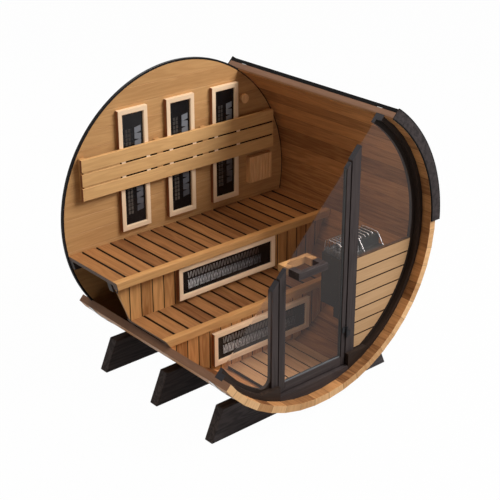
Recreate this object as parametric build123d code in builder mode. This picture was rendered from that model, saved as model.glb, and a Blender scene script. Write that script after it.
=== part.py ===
from build123d import *
from math import ceil, cos, radians, sin, sqrt
import os

# A barrel sauna shown as a cutaway. The barrel lies along Y with its glazed front towards -Y.
# X is to the right seen from the front, Z is up, and the origin is on the ground under the
# middle of the barrel. Levels are heights measured from the barrel's axis.

# Fits and cutting
seat_gap = 0.3
overrun = 30.0

# Barrel shell of straight staves
shell_outer_radius = 1050.0
ground_clearance = 73.0
stave_thickness = 50.0
shell_length = 1640.0
stave_pitch_angle = 7.5
stave_first_angle = -142.5
stave_count = 27
stave_joint = 0.4
tongue_thickness = 12.0
tongue_reach = 9.0
groove_depth = 12.0

# The plane that opens the barrel's upper left side
cut_normal_angle = 136.4
cut_half_angle = 80.4779

# Steel hoops, roof cover and its end trims
hoop_thickness = 2.6
hoop_width = 46.0
hoop_inset = 147.0
roof_thickness = 24.0
roof_low_level = 0.0
fascia_thickness = 10.0
fascia_lip = 6.0

# Cradles under the barrel
cradle_thickness = 77.0
cradle_inset = 221.5
cradle_foot_half_length = 813.0
cradle_top_half_length = 715.0
cradle_height = 227.0

# Back wall and the dark trim on its open edge
back_wall_thickness = 18.0
back_wall_overhang = 100.4
back_groove_depth = 4.0
rim_lip = 6.0
rim_thickness = 2.0

# Front wall with its door opening
front_recess = 104.0
front_wall_thickness = 42.0
front_ring_width = 60.0
ring_lip = 29.0
ring_rebate_width = 28.0
door_opening_half_width = 315.0
left_post_width = 53.0
right_post_width = 79.0
sill_rise = 9.0
pane_corner_radius = 58.0
post_foot_rise = 84.0
pane_thickness = 8.0
pane_setback = 14.0
front_board_pitch = 98.6
front_board_groove = 8.0
front_board_groove_depth = 9.0
front_board_joint = 0.6
front_board_count = 7
front_boards_rise = 788.0
front_board_setback = 10.0

# Floor
floor_rise = 73.0
floor_board_thickness = 24.0
floor_board_pitch = 105.0
floor_board_gap = 8.0
floor_board_edge = 2.5
floor_side_gap = 1.2
joist_thickness = 40.0
joist_inset = 90.0

# Benches
lower_seat_rise = 388.0
upper_seat_rise = 340.0
standing_depth = 469.6
lower_seat_depth = 390.0
slat_thickness = 28.0
slat_edge = 3.0
slat_pitch = 117.0
slat_gap = 13.0
nosing_depth = 47.0
nosing_height = 57.0
nosing_edge = 6.0
upper_skirt_setback = 56.0
lower_skirt_setback = 15.0
skirt_thickness = 18.0
skirt_board_pitch = 95.0
skirt_board_gap = 3.0
skirt_board_shift = 18.0
skirt_open_end = 10.0
bearer_width = 45.0
bearer_height = 66.0

# Infrared panels, five alike: three upright on the back wall and one level in each skirt
skirt_heater_width = 246.0
skirt_heater_end_gap = 42.5
heater_member = 36.0
heater_depth = 30.0
heater_bevel = 7.0
heater_panel_depth = 16.0
wall_heater_count = 3
wall_heater_gap = 164.0
wall_heater_side_space = 444.5
wall_heater_top_gap = 95.2
wall_heater_rise = 63.0
upper_heater_rise = 24.0
lower_heater_rise = 55.0

# Backrest, vent and lamp on the back wall
backrest_end_gap = 16.2
backrest_board_height = 89.5
backrest_board_gap = 12.5
backrest_board_count = 3
backrest_board_thickness = 22.0
backrest_board_edge = 3.0
backrest_rise = 386.0
batten_width = 45.0
batten_inset = 6.0
vent_radius = 36.0
vent_depth = 24.0
vent_edge = 6.0
vent_shell_gap = 105.2
vent_angle = 44.95
lamp_width = 217.0
lamp_height = 204.0
lamp_depth = 45.0
lamp_side_gap = 137.9
lamp_rise = 137.0
lamp_slat_count = 7
lamp_groove = 4.0
lamp_groove_depth = 5.0

# Electric stove hung on the front boards
stove_post_lap = 7.0
stove_side_gap = 16.1
stove_depth = 290.0
stove_rise = 349.0
stove_height = 382.0
stove_wall = 10.0
stove_well_front = 130.0
stove_well_depth = 90.0
control_left_inset = 40.0
control_right_inset = 105.0
control_depth = 200.0
control_height = 103.0
steam_box_width = 190.0
steam_box_lift = 76.0
stone_lift = 40.0
stone_bevel = 18.0
guard_wire_radius = 4.0
guard_lift = 96.0
guard_bend = 40.0
guard_count = 7
grate_bend = 12.0
grate_inset = 10.0
grate_count = 5
lean_reach = 60.0
lean_rise = 12.0

# Door leaf
latch_gap = 8.0
hinge_gap = 10.0
leaf_clearance = 6.0
leaf_depth = 36.0
left_stile_width = 56.0
right_stile_width = 36.0
bottom_rail_height = 66.0

# Hinge
hinge_height = 79.0
hinge_rise = 230.0
hinge_standoff = 11.0
knuckle_radius = 8.0
pin_radius = 4.0
pin_clearance = 0.05
hinge_plate = 6.0
hinge_reach = 38.0
knuckle_clearance = 0.3

# Handle
handle_length = 258.0
handle_height = 52.0
handle_reach = 96.0
handle_leg = 48.0
handle_bar = 32.0
handle_offset = 33.0
handle_cut_gap = 74.0
handle_edge = 3.0

# Values that follow from the sizes above
axis_height = shell_outer_radius + ground_clearance
shell_inner_radius = shell_outer_radius - stave_thickness
half_pitch = radians(stave_pitch_angle / 2)
lining_radius = shell_inner_radius * cos(half_pitch) - seat_gap
groove_radius = shell_inner_radius + groove_depth
wall_radius = groove_radius - seat_gap
back_groove_radius = shell_inner_radius + back_groove_depth
back_wall_radius = back_groove_radius - seat_gap
hoop_inner_radius = shell_outer_radius + seat_gap
roof_inner_radius = hoop_inner_radius + hoop_thickness + seat_gap
roof_outer_radius = roof_inner_radius + roof_thickness
fascia_outer_radius = roof_outer_radius + fascia_lip

shell_front = -shell_length / 2
shell_back = shell_length / 2
back_wall_face = shell_back - back_wall_overhang - back_wall_thickness
front_wall_face = shell_front + front_recess
front_wall_back = front_wall_face + front_wall_thickness
ring_depth = front_wall_thickness + ring_lip
pane_face = front_wall_face + pane_setback

ground_level = -axis_height
floor_level = floor_rise - shell_inner_radius
lower_seat_level = floor_level + lower_seat_rise
upper_seat_level = lower_seat_level + upper_seat_rise
sill_level = floor_level + sill_rise
lower_front = front_wall_back + standing_depth
lower_skirt_face = lower_front + lower_skirt_setback
upper_skirt_face = lower_front + lower_seat_depth
upper_front = upper_skirt_face - upper_skirt_setback
ring_inner_radius = wall_radius - groove_depth - front_ring_width
ring_rebate_radius = ring_inner_radius + ring_rebate_width
frame_fit_radius = ring_inner_radius - seat_gap
post_foot = floor_level + post_foot_rise
left_post_outer = -door_opening_half_width - left_post_width
right_post_outer = door_opening_half_width + right_post_width
front_boards_top = floor_level + front_boards_rise
front_boards_bottom = front_boards_top - front_board_count * front_board_pitch

cut_distance = shell_outer_radius * cos(radians(cut_half_angle))
cut_x = cos(radians(cut_normal_angle))
cut_z = sin(radians(cut_normal_angle))
cut_plane = Plane(
    origin=(cut_distance * cut_x, 0, axis_height + cut_distance * cut_z),
    z_dir=(cut_x, 0, cut_z),
)


def barrel_plane(depth):
    """The upright plane across the barrel at a depth, centred on the axis and facing the front."""
    return Plane(origin=(0, depth, axis_height), x_dir=(1, 0, 0), z_dir=(0, -1, 0))


def span(low, high):
    """The middle and the length of a stretch from low to high."""
    return (low + high) / 2, high - low


def block(left, right, bottom, top, mode=Mode.ADD, edge=0):
    """A rectangle on a barrel plane between two sides and two levels, with eased corners if asked."""
    middle, width = span(left, right)
    level, height = span(bottom, top)
    with Locations((middle, level)):
        if edge:
            RectangleRounded(width, height, edge, mode=mode)
        else:
            Rectangle(width, height, mode=mode)


def chord(radius, level):
    """Half the width of a circle about the axis at a level."""
    return sqrt(radius * radius - level * level)


def write(builder, name):
    """Label a finished piece and save it under its own name."""
    builder.part.label = name
    export_step(builder.part, f"parts/{name}.step")


os.makedirs("parts", exist_ok=True)

# Cradles: planks with splayed ends and a saddle for the barrel
cradle_depths = {
    "front": shell_front + cradle_inset,
    "middle": 0,
    "back": shell_back - cradle_inset,
}
for place, depth in cradle_depths.items():
    with BuildPart() as cradle:
        with BuildSketch(barrel_plane(depth + cradle_thickness / 2)):
            with BuildLine():
                Polyline(
                    (-cradle_foot_half_length, ground_level),
                    (cradle_foot_half_length, ground_level),
                    (cradle_top_half_length, ground_level + cradle_height),
                    (-cradle_top_half_length, ground_level + cradle_height),
                    close=True,
                )
            make_face()
            Circle(shell_outer_radius + seat_gap, mode=Mode.SUBTRACT)
        extrude(amount=cradle_thickness)
    write(cradle, f"cradle_{place}")


def stave_side(radius, out):
    """A point on a stave's upper side at a radius, moved out of the side by a distance."""
    along = radius * sin(half_pitch) - stave_joint / 2 + out * cos(half_pitch)
    return radius * cos(half_pitch) - out * sin(half_pitch), along


def mirrored(point):
    """The same point on the stave's lower side."""
    return point[0], -point[1]


# Staves: a tongue on one side fits the groove of the next stave. Every second stave shares a node,
# so that the staves of a node stand apart
middle_radius = (shell_inner_radius + shell_outer_radius) / 2
tongue_low, tongue_high = middle_radius - tongue_thickness / 2, middle_radius + tongue_thickness / 2
slot_low, slot_high = tongue_low - seat_gap, tongue_high + seat_gap
slot_depth = tongue_reach + seat_gap
stave_outline = [
    stave_side(shell_inner_radius, 0),
    stave_side(tongue_low, 0),
    stave_side(tongue_low, tongue_reach),
    stave_side(tongue_high, tongue_reach),
    stave_side(tongue_high, 0),
    stave_side(shell_outer_radius, 0),
    mirrored(stave_side(shell_outer_radius, 0)),
    mirrored(stave_side(slot_high, 0)),
    mirrored(stave_side(slot_high, -slot_depth)),
    mirrored(stave_side(slot_low, -slot_depth)),
    mirrored(stave_side(slot_low, 0)),
    mirrored(stave_side(shell_inner_radius, 0)),
]
stave_sets = {"staves_odd": (0, ceil(stave_count / 2)), "staves_even": (1, stave_count // 2)}
for name, (first, count) in stave_sets.items():
    with BuildPart() as staves:
        with BuildSketch(barrel_plane(shell_back)):
            with PolarLocations(
                0,
                count,
                start_angle=stave_first_angle + first * stave_pitch_angle,
                angular_range=2 * stave_pitch_angle * (count - 1),
                endpoint=True,
            ):
                Polygon(*stave_outline, align=None)
        extrude(amount=shell_length)
        with BuildSketch(barrel_plane(back_wall_face + back_wall_thickness + seat_gap)):
            Circle(back_groove_radius)
        extrude(amount=back_wall_thickness + 2 * seat_gap, mode=Mode.SUBTRACT)
        with BuildSketch(barrel_plane(front_wall_back + seat_gap)):
            Circle(groove_radius)
        extrude(amount=ring_depth + 2 * seat_gap, mode=Mode.SUBTRACT)
        split(bisect_by=cut_plane, keep=Keep.BOTTOM)
    write(staves, name)

# Hoops: flat steel bands round the staves, one near each end
with BuildPart() as hoops:
    for depth in (shell_front + hoop_inset, shell_back - hoop_inset):
        with BuildSketch(barrel_plane(depth + hoop_width / 2)):
            Circle(hoop_inner_radius + hoop_thickness)
            Circle(hoop_inner_radius, mode=Mode.SUBTRACT)
        extrude(amount=hoop_width)
    split(bisect_by=cut_plane, keep=Keep.BOTTOM)
write(hoops, "hoops")

# Roof cover over the upper half, ending at the axis level on the right
with BuildPart() as roof_cover:
    with BuildSketch(barrel_plane(shell_back)):
        Circle(roof_outer_radius)
        Circle(roof_inner_radius, mode=Mode.SUBTRACT)
        block(
            -fascia_outer_radius - overrun,
            fascia_outer_radius + overrun,
            -fascia_outer_radius - overrun,
            roof_low_level,
            Mode.SUBTRACT,
        )
    extrude(amount=shell_length)
    split(bisect_by=cut_plane, keep=Keep.BOTTOM)
write(roof_cover, "roof_cover")

# End trims that close the roof cover and the ends of the staves under it
for place, depth in {"front": shell_front, "back": shell_back + fascia_thickness}.items():
    with BuildPart() as fascia:
        with BuildSketch(barrel_plane(depth)):
            Circle(fascia_outer_radius)
            Circle(shell_inner_radius, mode=Mode.SUBTRACT)
            block(
                -fascia_outer_radius - overrun,
                fascia_outer_radius + overrun,
                -fascia_outer_radius - overrun,
                roof_low_level,
                Mode.SUBTRACT,
            )
        extrude(amount=fascia_thickness)
        split(bisect_by=cut_plane, keep=Keep.BOTTOM)
    write(fascia, f"roof_fascia_{place}")

# Back wall: a whole disc that stands in the staves' groove
with BuildPart() as back_wall:
    with BuildSketch(barrel_plane(back_wall_face + back_wall_thickness)):
        Circle(back_wall_radius)
    extrude(amount=back_wall_thickness)
write(back_wall, "back_wall")

# Dark trim that folds over the wall's edge where no stave covers it
with BuildPart() as back_wall_rim:
    with BuildSketch(barrel_plane(back_wall_face + back_wall_thickness + rim_thickness)):
        Circle(back_wall_radius + rim_thickness)
        Circle(back_wall_radius - rim_lip, mode=Mode.SUBTRACT)
    extrude(amount=back_wall_thickness + 2 * rim_thickness)
    with BuildSketch(barrel_plane(back_wall_face + back_wall_thickness + seat_gap / 2)):
        Circle(back_wall_radius + seat_gap / 2)
    extrude(amount=back_wall_thickness + seat_gap, mode=Mode.SUBTRACT)
    split(bisect_by=cut_plane.offset(rim_thickness), keep=Keep.TOP)
write(back_wall_rim, "back_wall_rim")

# Openings of the fixed panes in the front wall, the left one with a rounded foot
with BuildSketch() as left_pane_outline:
    Circle(ring_inner_radius)
    block(-wall_radius, left_post_outer, -wall_radius, wall_radius, Mode.INTERSECT)
    fillet(left_pane_outline.vertices().sort_by(Axis.Y)[0], radius=pane_corner_radius)

with BuildSketch() as right_pane_outline:
    Circle(ring_inner_radius)
    block(right_post_outer, wall_radius, front_boards_top, wall_radius, Mode.INTERSECT)

# Front ring, left and right of the door: a round frame that stands proud of the door, with a rebate
# along its inner edge and dark fill in its lower corners
with BuildPart() as front_ring_left:
    with BuildSketch(barrel_plane(front_wall_back)):
        Circle(wall_radius)
        block(-wall_radius, -door_opening_half_width, -wall_radius, wall_radius, Mode.INTERSECT)
        block(
            left_post_outer, -door_opening_half_width, post_foot, wall_radius, Mode.SUBTRACT
        )
        add(left_pane_outline.sketch_local, mode=Mode.SUBTRACT)
    extrude(amount=ring_depth)
    with BuildSketch(barrel_plane(pane_face)):
        Circle(ring_rebate_radius)
        block(-wall_radius, left_post_outer, post_foot, wall_radius, Mode.INTERSECT)
    extrude(amount=ring_lip + pane_setback, mode=Mode.SUBTRACT)
    split(bisect_by=cut_plane, keep=Keep.BOTTOM)
write(front_ring_left, "front_ring_left")

with BuildPart() as front_ring_right:
    with BuildSketch(barrel_plane(front_wall_back)):
        Circle(wall_radius)
        Circle(ring_inner_radius, mode=Mode.SUBTRACT)
        with Locations((0, front_boards_bottom)):
            Rectangle(wall_radius, wall_radius, align=(Align.MIN, Align.MAX))
        Circle(wall_radius, mode=Mode.INTERSECT)
        block(door_opening_half_width, wall_radius, -wall_radius, wall_radius, Mode.INTERSECT)
    extrude(amount=ring_depth)
    with BuildSketch(barrel_plane(pane_face)):
        Circle(ring_rebate_radius)
        block(right_post_outer, wall_radius, front_boards_bottom, wall_radius, Mode.INTERSECT)
    extrude(amount=ring_lip + pane_setback, mode=Mode.SUBTRACT)
    split(bisect_by=cut_plane, keep=Keep.BOTTOM)
write(front_ring_right, "front_ring_right")

# Sill: the segment of the front wall under the door
with BuildPart() as door_sill:
    with BuildSketch(barrel_plane(front_wall_back)):
        block(
            seat_gap - door_opening_half_width,
            door_opening_half_width - seat_gap,
            -wall_radius,
            sill_level,
        )
        Circle(wall_radius, mode=Mode.INTERSECT)
    extrude(amount=ring_depth)
write(door_sill, "door_sill")

# Door posts, standing on the ring and cut off with the barrel
post_sides = {
    "left": (left_post_outer, -door_opening_half_width, post_foot),
    "right": (door_opening_half_width, right_post_outer, front_boards_bottom),
}
for place, (inner, outer, foot) in post_sides.items():
    with BuildPart() as post:
        with BuildSketch(barrel_plane(front_wall_back)):
            block(inner, outer, foot + seat_gap, wall_radius)
            Circle(frame_fit_radius, mode=Mode.INTERSECT)
        extrude(amount=front_wall_thickness)
        split(bisect_by=cut_plane, keep=Keep.BOTTOM)
    write(post, f"{place}_post")

# Fixed panes beside the door
with BuildPart() as side_panes:
    with BuildSketch(barrel_plane(pane_face + pane_thickness)):
        add(left_pane_outline.sketch_local)
        add(right_pane_outline.sketch_local)
        offset(amount=-seat_gap, mode=Mode.REPLACE)
    extrude(amount=pane_thickness)
    split(bisect_by=cut_plane, keep=Keep.BOTTOM)
write(side_panes, "side_panes")

# Level boards that fill the front wall under the right pane, with a square groove between them
front_board_depth = front_wall_thickness - front_board_setback
front_board_layers = [
    (front_wall_back, front_board_depth - front_board_groove_depth, front_board_joint),
    (front_wall_face + front_board_setback + front_board_groove_depth, front_board_groove_depth,
     front_board_groove),
]
with BuildPart() as front_boards:
    for depth, thickness, groove in front_board_layers:
        with BuildSketch(barrel_plane(depth)):
            for index in range(front_board_count):
                top = front_boards_top - index * front_board_pitch
                bottom = top - front_board_pitch + groove
                block(right_post_outer + seat_gap, wall_radius, bottom, top)
            Circle(frame_fit_radius, mode=Mode.INTERSECT)
        extrude(amount=thickness)
write(front_boards, "front_boards")

# Floor boards, set out from the left edge
floor_bottom = floor_level - floor_board_thickness
floor_front = front_wall_back + seat_gap
floor_length = lower_skirt_face - floor_front
floor_half_width = chord(lining_radius, floor_bottom) - floor_side_gap
with BuildPart() as floor_boards:
    with BuildSketch(barrel_plane(lower_skirt_face)):
        for index in range(ceil(2 * floor_half_width / floor_board_pitch)):
            left = index * floor_board_pitch - floor_half_width
            right = min(left + floor_board_pitch - floor_board_gap, floor_half_width)
            block(left, right, floor_bottom, floor_level, edge=floor_board_edge)
    extrude(amount=floor_length)
write(floor_boards, "floor_boards")

# Joists that fill the round under the floor
with BuildPart() as floor_joists:
    for depth in (floor_front + joist_inset, lower_skirt_face - joist_inset):
        with BuildSketch(barrel_plane(depth + joist_thickness / 2)):
            block(-floor_half_width, floor_half_width, -lining_radius, floor_bottom)
            Circle(lining_radius, mode=Mode.INTERSECT)
        extrude(amount=joist_thickness)
write(floor_joists, "floor_joists")


def seat_slats(seat_level, front, back):
    """Seat slats that run front to back, set out from the left and trimmed to the round shell."""
    half_width = chord(shell_inner_radius, seat_level)
    with BuildPart() as slats:
        with BuildSketch(barrel_plane(back)):
            for index in range(ceil(2 * half_width / slat_pitch)):
                left = index * slat_pitch - half_width
                right = left + slat_pitch - slat_gap
                block(left, right, seat_level - slat_thickness, seat_level, edge=slat_edge)
            Circle(lining_radius, mode=Mode.INTERSECT)
        extrude(amount=back - front)
    return slats


def nosing(back, top):
    """A rounded board along a seat's front edge, trimmed to the round shell."""
    with BuildPart() as board:
        with BuildSketch(barrel_plane(back)):
            block(-shell_inner_radius, shell_inner_radius, top - nosing_height, top)
            Circle(lining_radius, mode=Mode.INTERSECT)
        extrude(amount=nosing_depth)
        front_edges = board.edges().filter_by(Axis.X).group_by(Axis.Y)[0]
        fillet(front_edges, radius=nosing_edge)
    return board


def skirt(face, bottom, top, open_end=0):
    """Upright boards under a seat's edge, trimmed to the round shell. If asked, a straight slant at
    the open left end keeps their top clear of it."""
    board_count = ceil(2 * lining_radius / skirt_board_pitch)
    first_left = skirt_board_shift - board_count * skirt_board_pitch / 2
    with BuildPart() as boards:
        with BuildSketch(barrel_plane(face + skirt_thickness)):
            for index in range(board_count):
                left = first_left + index * skirt_board_pitch
                block(left, left + skirt_board_pitch - skirt_board_gap, bottom, top)
            Circle(lining_radius, mode=Mode.INTERSECT)
            if open_end:
                with BuildLine():
                    Polyline(
                        (-chord(lining_radius, bottom), bottom),
                        (open_end - chord(lining_radius, top), top),
                        (-shell_inner_radius, top),
                        (-shell_inner_radius, bottom),
                        close=True,
                    )
                make_face(mode=Mode.SUBTRACT)
        extrude(amount=skirt_thickness)
    return boards


# Benches: slats, the nosing along their front and the boarded skirt below
upper_slat_front = upper_front + nosing_depth
lower_slat_front = lower_front + nosing_depth
lower_slat_back = upper_skirt_face + bearer_width
write(seat_slats(upper_seat_level, upper_slat_front, back_wall_face), "upper_bench_slats")
write(seat_slats(lower_seat_level, lower_slat_front, lower_slat_back), "lower_bench_slats")
write(nosing(upper_slat_front, upper_seat_level), "upper_bench_nosing")
write(nosing(lower_slat_front, lower_seat_level), "lower_bench_nosing")
upper_skirt_top = upper_seat_level - slat_thickness
lower_skirt_top = lower_seat_level - nosing_height
upper_skirt = skirt(upper_skirt_face, lower_seat_level, upper_skirt_top, skirt_open_end)
write(upper_skirt, "upper_bench_skirt")
write(skirt(lower_skirt_face, -shell_inner_radius, lower_skirt_top), "lower_bench_skirt")

# Bearers under the slats: one behind each front edge and one along each back edge
bearer_places = {
    "upper": (upper_skirt_face + skirt_thickness, back_wall_face - bearer_width, upper_seat_level),
    "lower": (lower_slat_front, upper_skirt_face, lower_seat_level),
}
for place, (front_bearer, back_bearer, seat_level) in bearer_places.items():
    bearer_top = seat_level - slat_thickness
    with BuildPart() as bearers:
        for depth in (front_bearer, back_bearer):
            with BuildSketch(barrel_plane(depth + bearer_width)):
                block(
                    -shell_inner_radius, shell_inner_radius, bearer_top - bearer_height, bearer_top
                )
                Circle(lining_radius, mode=Mode.INTERSECT)
            extrude(amount=bearer_width)
    write(bearers, f"{place}_bench_bearers")

# Infrared panels: a bevelled frame round a dark panel. Those on the wall share the room that the
# lamp leaves beside them, and those in the skirts share the room between the shell's sides
wall_heaters_half_width = chord(lining_radius, upper_seat_level) - wall_heater_side_space
wall_heater_gaps = (wall_heater_count - 1) * wall_heater_gap
wall_heater_width = (2 * wall_heaters_half_width - wall_heater_gaps) / wall_heater_count
wall_heater_pitch = wall_heater_width + wall_heater_gap
wall_heater_bottom = upper_seat_level + wall_heater_rise
wall_heater_top = chord(lining_radius, wall_heaters_half_width) - wall_heater_top_gap
upper_heater_bottom = lower_seat_level + upper_heater_rise
lower_heater_bottom = floor_level + lower_heater_rise
skirt_heater_half_length = chord(lining_radius, lower_heater_bottom) - skirt_heater_end_gap
wall_heater_size = (wall_heater_width, wall_heater_top - wall_heater_bottom)
skirt_heater_size = (2 * skirt_heater_half_length, skirt_heater_width)
heater_places = {
    "wall_heater": (back_wall_face, wall_heater_bottom, wall_heater_size, wall_heater_count),
    "upper_skirt_heater": (upper_skirt_face, upper_heater_bottom, skirt_heater_size, 1),
    "lower_skirt_heater": (lower_skirt_face, lower_heater_bottom, skirt_heater_size, 1),
}
for name, (face, bottom, (width, height), count) in heater_places.items():
    opening_width = width - 2 * heater_member
    opening_height = height - 2 * heater_member
    with BuildPart() as frame:
        with BuildSketch(barrel_plane(face)):
            with Locations((0, bottom + height / 2)):
                with GridLocations(wall_heater_pitch, 0, count, 1):
                    Rectangle(width, height)
                    Rectangle(opening_width, opening_height, mode=Mode.SUBTRACT)
        extrude(amount=heater_depth)
        fronts = frame.faces().filter_by(Axis.Y).group_by(Axis.Y)[0]
        inner_edges = [edge for front in fronts for edge in front.inner_wires()[0].edges()]
        chamfer(inner_edges, length=heater_bevel)
    write(frame, f"{name}_frame")
    with BuildPart() as panel:
        with BuildSketch(barrel_plane(face)):
            with Locations((0, bottom + height / 2)):
                with GridLocations(wall_heater_pitch, 0, count, 1):
                    Rectangle(opening_width - 2 * seat_gap, opening_height - 2 * seat_gap)
        extrude(amount=heater_panel_depth)
    write(panel, f"{name}_panel")

# Backrest boards on upright battens
batten_face = back_wall_face - heater_depth
backrest_bottom = upper_seat_level + backrest_rise
backrest_pitch = backrest_board_height + backrest_board_gap
backrest_top = backrest_bottom + backrest_board_count * backrest_pitch - backrest_board_gap
backrest_reach = chord(lining_radius, max(abs(backrest_bottom), abs(backrest_top)))
backrest_half_length = backrest_reach - backrest_end_gap
with BuildPart() as backrest_boards:
    with BuildSketch(barrel_plane(batten_face)):
        for index in range(backrest_board_count):
            bottom = backrest_bottom + index * backrest_pitch
            block(
                -backrest_half_length,
                backrest_half_length,
                bottom,
                bottom + backrest_board_height,
            )
    extrude(amount=backrest_board_thickness)
    front_edges = backrest_boards.edges().filter_by(Axis.X).group_by(Axis.Y)[0]
    fillet(front_edges, radius=backrest_board_edge)
write(backrest_boards, "backrest_boards")

end_batten = backrest_half_length - batten_inset - batten_width / 2
inner_batten = wall_heater_pitch / 2
with BuildPart() as backrest_battens:
    with BuildSketch(barrel_plane(back_wall_face)):
        for middle in (-end_batten, -inner_batten, inner_batten, end_batten):
            block(middle - batten_width / 2, middle + batten_width / 2, backrest_bottom, backrest_top)
    extrude(amount=heater_depth)
write(backrest_battens, "backrest_battens")

# Round vent knob, high on the right of the back wall
vent_reach = lining_radius - vent_shell_gap - vent_radius
with BuildPart() as vent_knob:
    with BuildSketch(barrel_plane(back_wall_face)):
        with PolarLocations(vent_reach, 1, start_angle=vent_angle):
            Circle(vent_radius)
    extrude(amount=vent_depth)
    front_edge = vent_knob.edges().filter_by(GeomType.CIRCLE).sort_by(Axis.Y)[0]
    fillet(front_edge, radius=vent_edge)
write(vent_knob, "vent_knob")

# Lamp shade with upright grooves between its slats
lamp_level = upper_seat_level + lamp_rise + lamp_height / 2
lamp_right = chord(lining_radius, lamp_level + lamp_height / 2) - lamp_side_gap
lamp_offset = lamp_right - lamp_width / 2
lamp_slat_pitch = (lamp_width + lamp_groove) / lamp_slat_count
with BuildPart() as lamp_shade:
    with BuildSketch(barrel_plane(back_wall_face)):
        with Locations((lamp_offset, lamp_level)):
            Rectangle(lamp_width, lamp_height)
    extrude(amount=lamp_depth)
    with BuildSketch(barrel_plane(back_wall_face - lamp_depth + lamp_groove_depth)):
        with Locations((lamp_offset, lamp_level)):
            with GridLocations(lamp_slat_pitch, 0, lamp_slat_count - 1, 1):
                Rectangle(lamp_groove, lamp_height)
    extrude(amount=lamp_groove_depth, mode=Mode.SUBTRACT)
write(lamp_shade, "lamp_shade")

# Stove: a steel cabinet hung on the inside of the front boards, with an open well for the stones,
# a raised steam box at the well's right end and a control box below
stove_bottom = floor_level + stove_rise
stove_left = right_post_outer - stove_post_lap
stove_right = chord(lining_radius, stove_bottom) - stove_side_gap
stove_top = stove_bottom + stove_height
stove_back = front_wall_back + stove_depth
well_front = front_wall_back + stove_well_front
well_back = stove_back - stove_wall
well_left = stove_left + stove_wall
well_right = stove_right - stove_wall
well_floor = stove_top - stove_well_depth
steam_box_left = well_right - steam_box_width
steam_box_top = stove_top + steam_box_lift
with BuildPart() as stove_cabinet:
    with BuildSketch(barrel_plane(stove_back)):
        block(stove_left, stove_right, stove_bottom, stove_top)
    extrude(amount=stove_depth)
    with BuildSketch(barrel_plane(well_back)):
        block(well_left, steam_box_left, well_floor, stove_top + overrun)
    extrude(amount=well_back - well_front, mode=Mode.SUBTRACT)
    with BuildSketch(barrel_plane(well_back)):
        block(steam_box_left, well_right, stove_top, steam_box_top)
    extrude(amount=well_back - well_front)
    with BuildSketch(barrel_plane(front_wall_back + control_depth)):
        block(
            stove_left + control_left_inset,
            stove_right - control_right_inset,
            stove_bottom - control_height,
            stove_bottom,
        )
    extrude(amount=control_depth)
write(stove_cabinet, "stove_cabinet")

# Heap of stones in the rest of the well
with BuildPart() as stove_stones:
    with BuildSketch(barrel_plane(well_back - seat_gap)):
        block(
            well_left + seat_gap, steam_box_left - seat_gap, well_floor, stove_top + stone_lift
        )
    extrude(amount=well_back - well_front - 2 * seat_gap)
    chamfer(stove_stones.faces().sort_by(Axis.Z)[-1].edges(), length=stone_bevel)
write(stove_stones, "stove_stones")

# Guard of bent wires: tall ones over the stones, low ones on the steam box. The last of each lot
# leans out to the cabinet's front, and all stand on two rails along the well's edges
guard_front = well_front - 2 * guard_wire_radius
guard_back = stove_back - stove_wall / 2
guard_top = stove_top + guard_lift
grate_front = well_front + grate_inset
lean_front = well_front - lean_reach
back_leg = [(guard_back, guard_top), (guard_back, stove_top)]
tall_wire = [(guard_front, stove_top), (guard_front, guard_top)]
low_wire = [(grate_front, steam_box_top), (grate_front, guard_top)]
leaning_wire = [
    (lean_front, stove_top),
    (lean_front, stove_top + lean_rise),
    (well_front, guard_top),
]
wire_lots = [
    (well_left, steam_box_left, guard_count, tall_wire, guard_bend),
    (steam_box_left, well_right, grate_count, low_wire, grate_bend),
]
rails = {guard_front: steam_box_left, guard_back: well_right}
with BuildPart() as stove_guard:
    for left, right, count, upright, bend in wire_lots:
        pitch = (right - left) / count
        for index in range(count):
            last = index == count - 1
            wire_x = left + pitch * (index + 1 / 2)
            wire_plane = Plane(origin=(wire_x, 0, axis_height), x_dir=(0, 1, 0), z_dir=(1, 0, 0))
            front_leg = leaning_wire if last else upright
            with BuildLine(wire_plane) as wire_path:
                FilletPolyline(*front_leg, *back_leg, radius=grate_bend if last else bend)
            with BuildSketch(Plane(origin=wire_path.line @ 0, z_dir=wire_path.line % 0)):
                Circle(guard_wire_radius)
            sweep(path=wire_path.line)
    for depth, right in rails.items():
        with BuildSketch(barrel_plane(depth + guard_wire_radius)):
            block(well_left, right, stove_top, stove_top + 2 * guard_wire_radius)
        extrude(amount=2 * guard_wire_radius)
write(stove_guard, "stove_guard")

# Door leaf: two stiles and a bottom rail, cut off with the barrel
leaf_left = latch_gap - door_opening_half_width
leaf_right = door_opening_half_width - hinge_gap
leaf_bottom = sill_level + leaf_clearance
glass_left = leaf_left + left_stile_width
glass_right = leaf_right - right_stile_width
glass_bottom = leaf_bottom + bottom_rail_height
leaf_boards = {
    "door_left_stile": (leaf_left, glass_left, leaf_bottom, frame_fit_radius),
    "door_right_stile": (glass_right, leaf_right, leaf_bottom, frame_fit_radius),
    "door_bottom_rail": (glass_left, glass_right, leaf_bottom, glass_bottom),
}
for name, (left, right, bottom, top) in leaf_boards.items():
    with BuildPart() as board:
        with BuildSketch(barrel_plane(front_wall_face + leaf_depth)):
            block(left, right, bottom, top)
        extrude(amount=leaf_depth)
        split(bisect_by=cut_plane, keep=Keep.BOTTOM)
    write(board, name)

with BuildPart() as door_glass:
    with BuildSketch(barrel_plane(pane_face + pane_thickness)):
        block(
            glass_left + seat_gap,
            glass_right - seat_gap,
            glass_bottom + seat_gap,
            frame_fit_radius,
        )
    extrude(amount=pane_thickness)
    split(bisect_by=cut_plane, keep=Keep.BOTTOM)
write(door_glass, "door_glass")

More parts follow.
